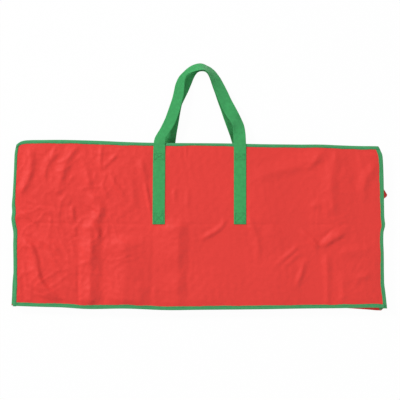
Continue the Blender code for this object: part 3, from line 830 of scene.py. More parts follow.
def repeating_tree():
    """Copies a small shape along the edges of a mesh, lengthways and right way up."""
    tree = bpy.data.node_groups.get("repeat_along_path")
    if tree:
        return tree
    tree = bpy.data.node_groups.new("repeat_along_path", "GeometryNodeTree")
    for name, kind in (
        ("Path", "Geometry"), ("Shape", "Object"), ("Spacing", "Float"), ("Upward", "Vector"),
        ("Unevenness", "Float"), ("Seed", "Int"), ("Material", "Material"),
    ):
        tree.interface.new_socket(name, in_out="INPUT", socket_type="NodeSocket" + kind)
    tree.interface.new_socket("Copies", in_out="OUTPUT", socket_type="NodeSocketGeometry")
    given = tree.nodes.new("NodeGroupInput").outputs
    curve = add_node(tree, "GeometryNodeMeshToCurve", {"Mesh": given["Path"]})
    even_curve = add_node(
        tree,
        "GeometryNodeResampleCurve",
        {"Curve": curve.outputs[0], "Length": given["Spacing"]},
        mode="LENGTH",
    )
    tangent = add_node(tree, "GeometryNodeInputTangent")
    facing = add_node(
        tree,
        "FunctionNodeAxesToRotation",
        {"Primary Axis": tangent.outputs[0], "Secondary Axis": given["Upward"]},
        primary_axis="X",
        secondary_axis="Z",
    )
    size = add_node(tree, "FunctionNodeRandomValue", data_type="FLOAT")
    sockets = {s.name: s for s in size.inputs if s.enabled}
    tree.links.new(math_node(tree, "SUBTRACT", 1.0, given["Unevenness"]), sockets["Min"])
    tree.links.new(math_node(tree, "ADD", 1.0, given["Unevenness"]), sockets["Max"])
    tree.links.new(given["Seed"], sockets["Seed"])
    amount = next(s for s in size.outputs if s.enabled)
    shape = add_node(tree, "GeometryNodeObjectInfo", {"Object": given["Shape"]})
    copies = add_node(
        tree,
        "GeometryNodeInstanceOnPoints",
        {
            "Points": even_curve.outputs[0],
            "Instance": shape.outputs["Geometry"],
            "Rotation": facing.outputs[0],
            "Scale": amount,
        },
    )
    real = add_node(tree, "GeometryNodeRealizeInstances", {"Geometry": copies.outputs[0]})
    sources = {"Geometry": real.outputs[0], "Material": given["Material"]}
    painted = add_node(tree, "GeometryNodeSetMaterial", sources)
    smoothed = add_node(tree, "GeometryNodeSetShadeSmooth", {0: painted.outputs[0]})
    result = tree.nodes.new("NodeGroupOutput")
    tree.links.new(smoothed.outputs[0], result.inputs[0])
    return tree


def repeated(name, paths, shape, spacing, upward, unevenness, seed, material):
    """A plain mesh of copies of a small shape along the given paths."""
    vertices, edges = [], []
    for path in paths:
        start = len(vertices)
        vertices += [tuple(p) for p in path]
        edges += [(start + i, start + i + 1) for i in range(len(path) - 1)]
    line = bpy.data.meshes.new(name + "_path")
    line.from_pydata(vertices, edges, [])
    holder = add_object(name + "_path", line)
    tree = repeating_tree()
    modifier = holder.modifiers.new("repeat", "NODES")
    modifier.node_group = tree
    values = {
        "Shape": shape,
        "Spacing": spacing,
        "Upward": upward,
        "Unevenness": unevenness,
        "Seed": seed,
        "Material": material,
    }
    for socket in tree.interface.items_tree:
        if socket.in_out == "INPUT" and socket.name in values:
            modifier[socket.identifier] = values[socket.name]
    depsgraph = bpy.context.evaluated_depsgraph_get()
    depsgraph.update()
    mesh = bpy.data.meshes.new_from_object(holder.evaluated_get(depsgraph))
    bpy.data.objects.remove(holder)
    bpy.data.objects.remove(shape)
    if not mesh.polygons:
        raise RuntimeError(f"{name} holds no copies")
    mesh.name = name
    return add_object(name, mesh)


def rod_mesh(name, points, radii, sides):
    """A thin rod of a few sides through points, as a shape to be repeated."""
    points = np.asarray(points, float)
    radii = np.broadcast_to(np.asarray(radii, float), (len(points),))
    tangent = np.gradient(points, axis=0)
    tangent /= np.linalg.norm(tangent, axis=1)[:, None]
    upright = np.abs(tangent[:, 2]).max() >= 0.95
    across = np.cross(tangent, (1.0, 0.0, 0.0) if upright else (0.0, 0.0, 1.0))
    across /= np.linalg.norm(across, axis=1)[:, None]
    up = np.cross(across, tangent)
    turns = np.arange(sides) * 2 * math.pi / sides
    way = np.cos(turns)[:, None] * across[:, None] + np.sin(turns)[:, None] * up[:, None]
    rings = points[:, None] + radii[:, None, None] * way
    return swept(name, rings, np.zeros((len(points), sides, 2)))


def stitch_shape(length):
    x = length * np.array((-0.46, -0.36, 0.0, 0.36, 0.46))
    z = np.array((-0.00032, -0.00006, 0.00004, -0.00006, -0.00032))
    radii = np.array((0.6, 1, 1, 1, 0.6)) * 0.00048
    return rod_mesh("stitch", np.stack([x, 0 * x, z], axis=1), radii, 6)


# Pieces


def panel_grid(surface, step):
    xs = even(-half_length, half_length, step)
    ys = even(-half_height, half_height, step)
    x, y = np.meshgrid(xs, ys)
    return surface(x, y), np.stack([x + half_length, y + half_height], axis=-1)


class TREEBAG_OT_front_cloth(Operator):
    """Lays the creased front panel, seen whole from above"""

    bl_idname = "treebag.front_cloth"
    bl_label = "Front panel"

    def execute(self, context):
        places, uv = panel_grid(front_surface, GRID)
        cloth = cloth_sheet("front_cloth", places, uv)
        finish_piece(cloth, cloth_material(), "front_panel", body="front")
        return {"FINISHED"}


class TREEBAG_OT_edge_lips(Operator):
    """Hangs the panels' seam allowances inside their edges, to close them over the walls"""

    bl_idname = "treebag.edge_lips"
    bl_label = "Seam allowances"

    def execute(self, context):
        for layer, side, low_end, high_end in LIPS:
            surface = front_surface if layer == "front" else back_surface
            outward = 1 if layer == "front" else -1
            along_x, sign = SIDE_WAYS[side]
            extent = half_length if along_x else half_height
            kept = extent - (0.005 if side == "left" else 0.0004)
            at = even(low_end * kept, high_end * kept, 0.005)
            top = along_edge(surface, side, at, 0.0012)
            # It hangs deeper where the panel's edge stops short of the seam, and by the corners
            if along_x:
                short = seam_y - sign * (top[:, 1] - centre_y)
            else:
                short = seam_x - sign * top[:, 0]
            corner = smooth(1 - (extent - np.abs(at)) / 0.03) * 0.006
            depth = 1.8 * np.maximum(short, 0) + LIP_LEAST + corner
            depth = np.clip(depth, LIP_LEAST, LIP_MOST[layer])
            if side == "left":
                depth = 0.003 + 0.0150 * smooth((np.abs(at) - CORNER_SHARE * extent) / 0.03)
            if side == "right":
                by_zip = np.abs(at - fold_y) < 0.02
                depth = np.where(by_zip, np.minimum(depth, LIP_BY_ZIP), depth)
            share = np.linspace(0, 1, 5)[:, None]
            places = np.repeat(top[None], 5, axis=0)
            places[..., 2] -= outward * (0.0004 + share * depth)
            uv = np.stack([at[None] + 0 * share, share * depth], axis=-1)
            facing = outward * (sign if along_x else -sign)
            name = f"{layer}_{side}_lip_{'low' if high_end < 0 else 'high'}"
            lip = cloth_sheet(name, places, uv, facing=facing)
            finish_piece(lip, cloth_material(), body=layer)
        return {"FINISHED"}


class TREEBAG_OT_back_cloth(Operator):
    """Lays the back panel on its webbing"""

    bl_idname = "treebag.back_cloth"
    bl_label = "Back panel"

    def execute(self, context):
        places, uv = panel_grid(back_surface, 2 * GRID)
        cloth = cloth_sheet("back_cloth", places, uv)
        finish_piece(cloth, cloth_material(), "back_panel", body="back")
        return {"FINISHED"}


def tape_section(inner_depth):
    """The folded tape's section: distance in from the cloth's edge, and height over its middle."""
    play, face, reach = TAPE_PLAY, TAPE_FACE, TAPE_REACH
    low = -inner_depth
    return np.array(
        [
            (reach, play),
            (reach + 0.0001, face * 0.75),
            (reach - 0.0007, face),
            (reach * 0.72, face * 1.12),
            (reach * 0.42, face * 1.10),
            (0.0014, face * 1.02),
            (0.0002, face * 0.86),
            (-0.0006, face * 0.5),
            (-0.0009, 0.0),
            (-0.0006, low * 0.5),
            (0.0002, low * 0.86),
            (0.0014, low * 0.98),
            (reach * 0.5, low),
            (reach - 0.0007, low * 0.97),
            (reach + 0.0001, low * 0.75),
            (reach, -play),
            (reach * 0.5, -play),
            (0.0004, -play),
            (0.0001, 0.0),
            (0.0004, play),
            (reach * 0.5, play),
        ]
    )


def folded_tape(name, surface, side, inner_depth, outward, seed):
    """Tape folded over one side of a panel; outward is 1 for the front panel, -1 for the back."""
    section = tape_section(inner_depth)
    reach = section[:, 0]
    along_x = SIDE_WAYS[side][0]
    extent = half_length + 0.0004 if along_x else half_height
    low_end = -extent - (0.0 if along_x else 0.0022)
    high_end = extent + (0.0 if along_x else 0.0006)
    if side == "bottom" and outward > 0:
        high_end -= 0.0060
    at = even(low_end, high_end, TAPE_GRID)[:, None] + 0 * reach
    millimetres = at * 1000
    width = 1 + 0.05 * waves(millimetres, 0.0, 70, seed)
    width = width + 0.02 * waves(millimetres, 0.0, 14, seed + 1)
    pull = 1 + 0.10 * waves(millimetres, 0.0, 23, seed + 2)
    if outward > 0:
        width = width * tape_shown(side, at)
    inward = np.where(reach > 0.0005, reach * width, reach)
    places = along_edge(surface, side, at, inward)
    height = section[:, 1] * pull
    if along_x:
        height = height + np.sign(height) * tape_crossing(at) * CROSSING_TAPE_RISE
    places[..., 2] += outward * height
    return swept(name, places, np.stack([at, distances(section) + 0 * at], axis=-1))


class TREEBAG_OT_binding_tapes(Operator):
    """Folds tape over the edges of both panels"""

    bl_idname = "treebag.binding_tapes"
    bl_label = "Binding tapes"

    def execute(self, context):
        wall_depth = front_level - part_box("front_binding_top")[0].z - 0.0004
        end_depth = front_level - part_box("front_binding_left")[0].z - 0.0002
        for layer, surface, outward in (("front", front_surface, 1), ("back", back_surface, -1)):
            for order, side in enumerate(("left", "right", "bottom", "top")):
                depth = end_depth if side in ("left", "right") else wall_depth
                name = f"{layer}_{side}_tape"
                tape = folded_tape(name, surface, side, depth, outward, 60 + 7 * order)
                finish_piece(tape, tape_material(), f"{layer}_binding_{side}", body=layer)
        return {"FINISHED"}


def wall_heights(x, y, seed):
    column, row = photo_pixel(x, y)
    height = 0.75 * crinkle(column, row, 24, seed) + 0.6 * waves(column, row, 50, seed + 3) - 0.2
    return height * MM


def away_from_folds(run, half_width):
    """0 at a wall's seam and at its fold, 1 between them."""
    return smooth(run / CALM_RUN) * smooth((half_width - run) / CALM_RUN)


def weld_flat(piece):
    """Merges the points of a grid that were drawn together, and drops its faces of no area."""

    def weld(shape):
        bmesh.ops.remove_doubles(shape, verts=shape.verts, dist=0.00005)
        bmesh.ops.dissolve_degenerate(shape, edges=shape.edges, dist=0.00002)

    reshape(piece, weld)
    piece.data.shade_smooth()


def end_seam_shift(layer, side, wx, y):
    """How far an end wall's seam lies off its straight line, to follow the panel's outline."""
    sign = SIDE_WAYS[side][1]
    shift = wx - sign * (half_length - WALL_EDGE)
    _, row = photo_pixel(wx, y + centre_y)
    if layer == "front" and side == "right":
        shift = np.minimum(shift, 0.0)
    if layer == "back" and side == "right":
        # The lower wall shows as a small point beyond the right edge
        point = np.minimum(np.clip((row - 186) / 9.7, 0, 1), np.clip((200 - row) / 4.3, 0, 1))
        shift = shift + 0.0175 * point
    if layer == "back" and side == "left":
        shift = shift + 0.0065 * back_peek(*photo_pixel(wx, y + centre_y))
    return shift


def bottom_sliver(x):
    """How far the bottom wall shows below the tape, near its right end."""
    column, _ = photo_pixel(x, 0.0)
    return 0.0125 * np.clip((column - 330) / 48, 0, 1) * smooth((388 - column) / 5)


class TREEBAG_OT_end_walls(Operator):
    """Makes both halves of each end wall, which lie folded between the panels, and their folds"""

    bl_idname = "treebag.end_walls"
    bl_label = "End walls"

    def execute(self, context):
        cloth = cloth_material()
        half_width = seam_x - fold_x
        flap = mid_level - end_level
        clear_y = fold_reach + 0.0015
        hem = half_height - TAPE_REACH
        rows = even(-1, 1, WALL_GRID / half_height)
        runs = even(0, half_width + flap, WALL_GRID)
        runs = np.sort(np.append(runs[np.abs(runs - half_width) > 0.002], half_width))
        for side, sign in SIDES:
            for layer, outward, half in LAYERS:
                level = layer_level(end_level, outward)
                run, row = np.meshgrid(runs, rows)
                reach = seam_y - WALL_PLAY - WALL_SLOPE * run
                y = row * reach
                # Past the fold the cloth goes on as a flap, but for where the fold's strip is
                beyond = np.clip(run - half_width, 0, None)
                run = np.where((np.abs(y) < clear_y) & (beyond > 0), half_width, run)
                outline = LAYER_PLAN[layer]
                wx, _ = outline(sign * (half_length - WALL_EDGE) + 0 * y, y)
                _, edge_y = outline(
                    sign * (half_length - WALL_EDGE - run), np.sign(y) * (half_height - WALL_EDGE)
                )
                tuck = smooth(1 - run / SEAM_RUN)
                x = sign * (seam_x - run) + end_seam_shift(layer, side, wx, y) * tuck
                # Its ends are drawn in under the panel's outline and lifted off the tape
                inward = np.maximum(0, reach - np.abs(edge_y - centre_y))
                y = y - np.sign(y) * inward * smooth((np.abs(y) / reach - 0.6) / 0.4)
                lift = 0.0014 * smooth((np.abs(y) - hem) / 0.003) * smooth(run / 0.004)
                ripple = wall_heights(x, y, 70 if layer == "back" else 80)
                z = level - outward * lift + ripple * away_from_folds(run, half_width)
                places = np.stack([x, y + centre_y, z], axis=-1)
                uv = np.stack([run, y + half_height], axis=-1)
                piece = cloth_sheet(f"{side}_end_{half}_cloth", places, uv, facing=-sign)
                weld_flat(piece)
                body = f"{side}_end_{half}"
                if layer == "back" or side == "left":
                    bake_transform(piece)
                else:
                    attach(piece, body)
                finish_piece(piece, cloth, f"{side}_end_{layer}_half")
            zs = even(end_level, 2 * mid_level - end_level, 0.0034)
            ys = even(-fold_reach, fold_reach, WALL_GRID)
            y, z = np.meshgrid(ys, zs)
            bulge = 0.0006 * np.sin((z - end_level) / (2 * flap) * math.pi)
            places = np.stack([sign * (fold_x - bulge), y + centre_y, z], axis=-1)
            uv = np.stack([z, y], axis=-1)
            name = f"{side}_end_fold"
            strip = cloth_sheet(name + "_cloth", places, uv, facing=sign)
            finish_piece(strip, cloth, name, body=name)
        return {"FINISHED"}


class TREEBAG_OT_long_walls(Operator):
    """Makes both halves of the top and bottom walls, and the bottom wall's fold"""

    bl_idname = "treebag.long_walls"
    bl_label = "Top and bottom walls"

    def execute(self, context):
        cloth = cloth_material()
        half_width = seam_y - fold_y
        xs = even(-wall_end, wall_end, 1.2 * WALL_GRID)
        runs = even(0, half_width, WALL_GRID)
        for wall, sign in (("bottom", -1), ("top", 1)):
            for layer, outward, half in LAYERS:
                level = layer_level(wall_level, outward)
                outline = LAYER_PLAN[layer]
                x, run = np.meshgrid(xs, runs)
                edge_y = sign * (half_height - WALL_EDGE)
                wx, wy = outline(x, edge_y + 0 * x)
                shift = wy - centre_y - edge_y
                if layer == "front":
                    shift = sign * np.minimum(sign * shift, 0.0)
                elif wall == "bottom":
                    shift = shift - bottom_sliver(wx)
                y = sign * (seam_y - run) + shift * smooth(1 - run / SEAM_RUN)
                near_end = smooth((np.abs(x) - wall_end + 0.03) / 0.03)
                end_x = np.sign(x) * half_length
                wx, _ = outline(end_x, y)
                x = x + np.sign(x) * np.minimum(np.sign(x) * (wx - end_x), 0.0) * near_end
                calm = away_from_folds(run, half_width) * (1 - 0.8 * near_end)
                z = level + wall_heights(x, y, 90 if layer == "back" else 100) * calm
                places = np.stack([x, y + centre_y, z], axis=-1)
                uv = np.stack([x + half_length, run], axis=-1)
                piece = cloth_sheet(f"{wall}_wall_{half}_cloth", places, uv, facing=-sign)
                if layer == "back":
                    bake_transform(piece)
                else:
                    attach(piece, f"{wall}_upper")
                finish_piece(piece, cloth, f"{wall}_{layer}_half")
        zs = even(wall_level, 2 * mid_level - wall_level, 0.003)
        x, z = np.meshgrid(xs, zs)
        y = -fold_y + 0.0005 * waves(x * 1000, z * 1000, 60, 111)
        y = np.where((z == zs[0]) | (z == zs[-1]), -fold_y, y)
        places = np.stack([x, y + centre_y, z], axis=-1)
        uv = np.stack([x + half_length, z], axis=-1)
        strip = cloth_sheet("bottom_fold_cloth", places, uv, facing=1)
        finish_piece(strip, cloth, "bottom_fold", body="bottom_fold")
        return {"FINISHED"}


class TREEBAG_OT_corner_tapes(Operator):
    """Folds tape over the ends of the top and bottom walls, where the end walls meet them"""

    bl_idname = "treebag.corner_tapes"
    bl_label = "Corner tapes"

    def execute(self, context):
        section = tape_section(0.0010) * (1, 0.9)
        around = distances(section)
        for wall in ("bottom", "top"):
            for layer, outward, half in LAYERS:
                level = layer_level(wall_level, outward)
                for side, sign in SIDES:
                    node = f"corner_binding_{wall}_{layer}_{side}"
                    low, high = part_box(node)
                    at = place = even(low.y, high.y, TAPE_GRID)
                    edge, _ = LAYER_PLAN[layer](sign * half_length + 0 * at, at - centre_y)
                    edge = sign * np.minimum(sign * edge, half_length)
                    edge = edge - sign * (half_length - wall_end)
                    if node == "corner_binding_bottom_back_right":
                        # This end is drawn in and down, with the sliver of wall that shows there
                        near = smooth(1 - (at - low.y) / 0.06)
                        edge = edge - 0.0035 * near
                        place = at - 0.0130 * near
                    ripple = 1 + 0.08 * waves(at * 1000, 0.0, 19, 121)
                    x = edge[:, None] - sign * section[:, 0]
                    z = level + section[:, 1] * ripple[:, None]
                    rings = np.stack([x, place[:, None] + 0 * x, z], axis=-1)
                    uv = np.stack([at[:, None] + 0 * x, around + 0 * x], axis=-1)
                    tape = swept(f"{wall}_{layer}_{side}_corner_tape", rings, uv)
                    finish_piece(tape, tape_material(), node, body=f"{wall}_{half}")
        return {"FINISHED"}


def strap_rings(outer, inner):
    """Sections of flat webbing between two edges, with rounded selvedges."""
    middle = (outer + inner) / 2
    width = inner - outer
    tangent = np.gradient(middle, axis=0)
    tangent /= np.linalg.norm(tangent, axis=1)[:, None]
    half = np.linalg.norm(width, axis=1)[:, None] / 2
    side = width / (2 * half)
    side = side - (side * tangent).sum(1)[:, None] * tangent
    side /= np.linalg.norm(side, axis=1)[:, None]
    normal = np.cross(side, tangent)
    t = STRAP_THICKNESS / 2
    face = [(a, t * (1.04 if abs(a) > 0.88 else 1)) for a in STRAP_SPOTS]
    shape = [(-1, -t * 0.3), (-1, t * 0.3), (-0.975, t * 0.85), *face]
    shape += [(0.975, t * 0.85), (1, t * 0.3), (1, -t * 0.3), (0.975, -t * 0.85)]
    shape += [(a, -h) for a, h in reversed(face)] + [(-0.975, -t * 0.85)]
    rings = np.stack([middle + a * half * side + h * normal for a, h in shape], axis=1)
    # Both faces are measured across from one edge, the lower one a tenth of a metre further
    across = np.array([(a + 1) * float(half.mean()) + (0.0 if h > 0 else 0.1) for a, h in shape])
    travelled = distances(middle)[:, None]
    return rings, np.stack([across + 0 * travelled, travelled + 0 * across], axis=-1)


def webbing_width():
    low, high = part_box("front_handle_end_left")
    return high.x - low.x


def front_strap_edges():
    """Both edges of the front strap. Sewn flat, then its inner edge rises as it narrows in view."""
    table = through_rows(FRONT_STRAP, 8)
    ox, oy = photo_place(table[:, 0], table[:, 1])
    ix, iy = photo_place(table[:, 2], table[:, 3])
    width = webbing_width()
    seen = np.hypot(ix - ox, iy - oy)
    scale = np.minimum(1, width / seen)
    mx, my = (ox + ix) / 2, (oy + iy) / 2
    ox, oy = mx + (ox - mx) * scale, my + (oy - my) * scale
    ix, iy = mx + (ix - mx) * scale, my + (iy - my) * scale
    # Where less than the whole width shows, the webbing is tilted
    rise = np.sqrt(np.clip(width**2 - np.hypot(ix - ox, iy - oy) ** 2, 0, None))
    top_y = centre_y + half_height
    beyond = (my - top_y) / LOOP_REACH
    free = smooth((my - (top_y - 0.030)) / 0.025)
    rise = rise * smooth((my - top_y + 0.002) / 0.012)
    rise = rise * (0.12 + 0.88 * smooth((mx + 0.05) / 0.075))
    # Each leg follows the cloth, climbs over the tape at the edge, then sinks along the loop
    sewn = front_surface(mx, np.clip(my - centre_y, -half_height, half_height))[:, 2]
    sewn = sewn + CLOTH_THICKNESS / 2 + STRAP_THICKNESS / 2 + 0.0001
    over = front_level + TAPE_FACE * 1.12 + STRAP_THICKNESS / 2 + 0.0008
    loop = over + 0.0008 - (over + 0.0008 - LOOP_LEVEL) * smooth(beyond / 0.85)
    middle = sewn + (np.maximum(over, sewn + 0.0004) - sewn) * free
    middle = np.where(my > top_y, loop, middle)
    middle = np.maximum(middle, rise / 2 + 0.0022)
    # The height is evened out over a few steps, so that the webbing has no kinks
    kernel = np.hanning(9) / np.hanning(9).sum()
    padded = np.concatenate([np.repeat(middle[0], 4), middle, np.repeat(middle[-1], 4)])
    middle = np.convolve(padded, kernel, mode="valid")
    outer = np.stack([ox, oy, middle - rise / 2], axis=1)
    inner = np.stack([ix, iy, middle + rise / 2], axis=1)
    return outer, inner


def rear_strap_edges():
    """Both edges of the rear strap: flat under the back panel, then nested in the front strap."""
    table = through_rows(REAR_STRAP, 8)
    ix, iy = photo_place(table[:, 0], table[:, 1])
    width = webbing_width()
    seen = np.minimum(table[:, 2] * PIXEL, width)
    run = np.gradient(np.stack([ix, iy], axis=1), axis=0)
    run /= np.linalg.norm(run, axis=1)[:, None]
    sides = np.stack([-run[:, 1], run[:, 0]], axis=1)
    # It lies straight by the edge of the bag and turns with its path further on
    free = smooth((iy - iy[0]) / 0.03)
    sides[:, 1] *= free
    sides /= np.linalg.norm(sides, axis=1)[:, None]
    ox, oy = ix + sides[:, 0] * seen, iy + sides[:, 1] * seen
    rise = np.sqrt(np.clip(width**2 - seen**2, 0, None)) * free
    # It turns its face away from the light where it shows inside the bend
    rise = rise * (1 - 1.2 * smooth((table[:, 0] - 178.5) / 6) * smooth((205 - table[:, 0]) / 12))
    low = STRAP_THICKNESS / 2 + STRAP_GAP
    outer = np.stack([ox, oy, low + np.maximum(-rise, 0)], axis=1)
    inner = np.stack([ix, iy, low + np.maximum(rise, 0)], axis=1)
    ends = []
    for side in ("left", "right"):
        box_low, box_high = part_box(f"back_handle_end_{side}")
        ys = even(box_low.y, iy[0] - 0.004, 0.004)
        edges = (box_low.x, box_high.x) if side == "left" else (box_high.x, box_low.x)
        ends.append([np.stack([edge + 0 * ys, ys, low + 0 * ys], axis=1) for edge in edges])
    outer = np.concatenate([ends[0][0], outer, ends[1][0][::-1]])
    inner = np.concatenate([ends[0][1], inner, ends[1][1][::-1]])
    return outer, inner


class TREEBAG_OT_front_handle(Operator):
    """Makes the front handle: one strap, sewn up the front panel and free above it"""

    bl_idname = "treebag.front_handle"
    bl_label = "Front handle"

    def execute(self, context):
        strap = swept("front_strap", *strap_rings(*front_strap_edges()))
        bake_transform(strap)
        nodes = ("front_handle_loop", "front_handle_end_left", "front_handle_end_right")
        finish_piece(strap, webbing_material(), *nodes)
        return {"FINISHED"}


class TREEBAG_OT_rear_handle(Operator):
    """Makes the rear handle: one strap, sewn up the back panel and free beyond it"""

    bl_idname = "treebag.rear_handle"
    bl_label = "Rear handle"

    def execute(self, context):
        strap = swept("rear_strap", *strap_rings(*rear_strap_edges()))
        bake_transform(strap)
        nodes = ("back_handle_loop", "back_handle_end_left", "back_handle_end_right")
        finish_piece(strap, webbing_material(), *nodes)
        return {"FINISHED"}


def leg_line(outer, inner, side):
    """Reads a sewn leg's two edges and height from a strap's edges, for given places up it."""
    half = len(outer) // 2
    rows = slice(0, half) if side == "left" else slice(half, None)
    o, i = outer[rows], inner[rows]
    middle = (o + i) / 2
    keep = middle[:, 1] < centre_y + half_height + 0.004
    order = np.argsort(middle[keep, 1])
    y = middle[keep, 1][order]

    def read(at):
        first, second, height = (
            np.interp(at, y, values[keep][order]) for values in (o[:, 0], i[:, 0], middle[:, 2])
        )
        return np.minimum(first, second), np.maximum(first, second), height

    return read


def box_stitch_paths(read, low_y, high_y, inset):
    """The path of a boxed cross sewn through a leg, on the webbing's face."""
    corners = [(0, 0), (1, 0), (1, 1), (0, 1), (0, 0)]
    crosses = [((0, 0), (1, 1)), ((1, 0), (0, 1))]
    share = np.linspace(0.01, 0.99, 14)[:, None]
    paths = []
    for start, end in list(zip(corners, corners[1:])) + crosses:
        spots = np.array(start) * (1 - share) + np.array(end) * share
        y = low_y + spots[:, 1] * (high_y - low_y)
        left, right, z = read(y)
        x = left + inset + spots[:, 0] * (right - left - 2 * inset)
        paths.append(np.stack([x, y, z + STRAP_THICKNESS / 2 + 0.00014], axis=1))
    return paths


class TREEBAG_OT_handle_stitching(Operator):
    """Sews a boxed cross at each end of all four legs"""

    bl_idname = "treebag.handle_stitching"
    bl_label = "Handle stitching"

    def execute(self, context):
        look = context.scene.tree_bag_stitches
        thread = thread_material()
        for layer, edges in (("front", front_strap_edges()), ("back", rear_strap_edges())):
            for side, _ in SIDES:
                read = leg_line(*edges, side)
                for place in ("foot", "top"):
                    node = f"{layer}_stitching_{place}_{side}"
                    low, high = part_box(node)
                    low_y, high_y = low.y, high.y
                    on_bend = layer == "front" and place == "top"
                    if on_bend:
                        low_y, high_y = FRONT_TOP_BOX
                    paths = box_stitch_paths(read, low_y, high_y, look.edge_inset)
                    if layer == "back":
                        # The back handle is sewn from inside, so its stitches lie on the cloth
                        for path in paths:
                            cloth = back_surface(path[:, 0], path[:, 1] - centre_y)
                            path[:, 2] = cloth[:, 2] + CLOTH_THICKNESS / 2 + 0.00010
                    stitches = repeated(
                        node + "_thread", paths, stitch_shape(look.length), look.length * 1.12,
                        (0, 0, 1), 0.08, 11 + len(side), thread,
                    )
                    if on_bend:
                        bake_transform(stitches)
                    finish_piece(stitches, thread, node, body=None if on_bend else layer)
        return {"FINISHED"}


class TREEBAG_OT_binding_stitching(Operator):
    """Sews both panels' binding tapes down along their inner edges"""

    bl_idname = "treebag.binding_stitching"
    bl_label = "Binding stitching"

    def execute(self, context):
        look = context.scene.tree_bag_stitches
        thread = thread_material()
        for layer, surface, outward in (("front", front_surface, 1), ("back", back_surface, -1)):
            paths = []
            for side in ("top", "bottom", "right", "left"):
                along_x = SIDE_WAYS[side][0]
                extent = (half_length if along_x else half_height) - 0.002
                at = even(-extent, extent, TAPE_GRID)
                shown = tape_shown(side, at) if outward > 0 else 1.0
                path = along_edge(surface, side, at, TAPE_REACH * shown - look.tape_inset)
                rise = TAPE_FACE * 1.10 + 0.00012
                if along_x:
                    rise = rise + tape_crossing(at) * CROSSING_TAPE_RISE
                path[:, 2] += outward * rise
                paths.append(path)
            stitches = repeated(
                f"{layer}_binding_thread", paths, stitch_shape(look.length * 1.1),
                look.length * 1.35, (0, 0, outward), 0.06, 31, thread,
            )
            finish_piece(stitches, thread, body=layer)
        return {"FINISHED"}


# The zip


def prism(name, outline, low_y, high_y, bevel, segments):
    """A plate with an outline in x and z, between two places in y, with rounded edges."""
    count = len(outline)
    vertices = [(x, y, z) for y in (low_y, high_y) for x, z in outline]
    faces = [tuple(range(count)), tuple(range(2 * count - 1, count - 1, -1))]
    faces += [(i, (i + 1) % count, count + (i + 1) % count, count + i) for i in range(count)]
    obj = new_mesh_object(name, vertices, faces)

    def round_off(shape):
        face_outward(shape)
        round_edges(shape, list(shape.edges), bevel, segments)

    reshape(obj, round_off)
    return obj


def join(name, pieces):
    """One object from several, kept as plain mesh."""
    shape = bmesh.new()
    for piece in pieces:
        shape.from_mesh(piece.data)
        bpy.data.objects.remove(piece)
    mesh = bpy.data.meshes.new(name)
    shape.to_mesh(mesh)
    shape.free()
    mesh.shade_smooth()
    return add_object(name, mesh)


def mirrored(half):
    """A closed outline from its upper half."""
    return half + [(x, -z) for x, z in reversed(half)]


def placed(outline, x0, z0, sign=1):
    """An outline drawn in millimetres, put at a place in metres."""
    return [(x0 + x * MM, z0 + sign * z * MM) for x, z in outline]


def rounded_outline(points, radius, steps=5):
    """A closed outline whose corners are rounded."""
    points = [Vector(p) for p in points]
    found = []
    for index, corner in enumerate(points):
        before, after = points[index - 1], points[(index + 1) % len(points)]
        reach = min(radius, (before - corner).length * 0.45, (after - corner).length * 0.45)
        start = corner + (before - corner).normalized() * reach
        end = corner + (after - corner).normalized() * reach
        for step in range(steps + 1):
            t = step / steps
            found.append(tuple(start * (1 - t) ** 2 + corner * 2 * t * (1 - t) + end * t * t))
    return found


class TREEBAG_OT_zip_tapes(Operator):
    """Weaves the zip's two tapes between the folded edges of the top wall"""

    bl_idname = "treebag.zip_tapes"
    bl_label = "Zip tapes"

    def execute(self, context):
        tape_look = tape_material()
        for layer, outward, _ in LAYERS:
            node = f"zip_tape_{layer}"
            low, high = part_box(node)
            middle = (low.y + high.y) / 2
            edge = layer_level(wall_level, outward)
            inner = mid_level + outward * 0.0009
            x, z = np.meshgrid(even(low.x, high.x, TAPE_GRID), np.linspace(edge, inner, 6))
            share = (z - edge) / (inner - edge)
            bow = 0.00025 * np.sin(share * math.pi) * (1 + 0.3 * waves(x * 1000, 0, 40, 131))
            y = middle + bow - 0.0011 * smooth(share * 1.2 - 0.55)
            y = np.where(share == 0, fold_line_y, y)
            places = np.stack([x, y, z], axis=-1)
            uv = np.stack([x - low.x, z], axis=-1)
            tape = cloth_sheet(f"zip_{layer}_tape", places, uv, facing=outward)
            finish_piece(tape, tape_look, node, body="zip_strip")
        return {"FINISHED"}


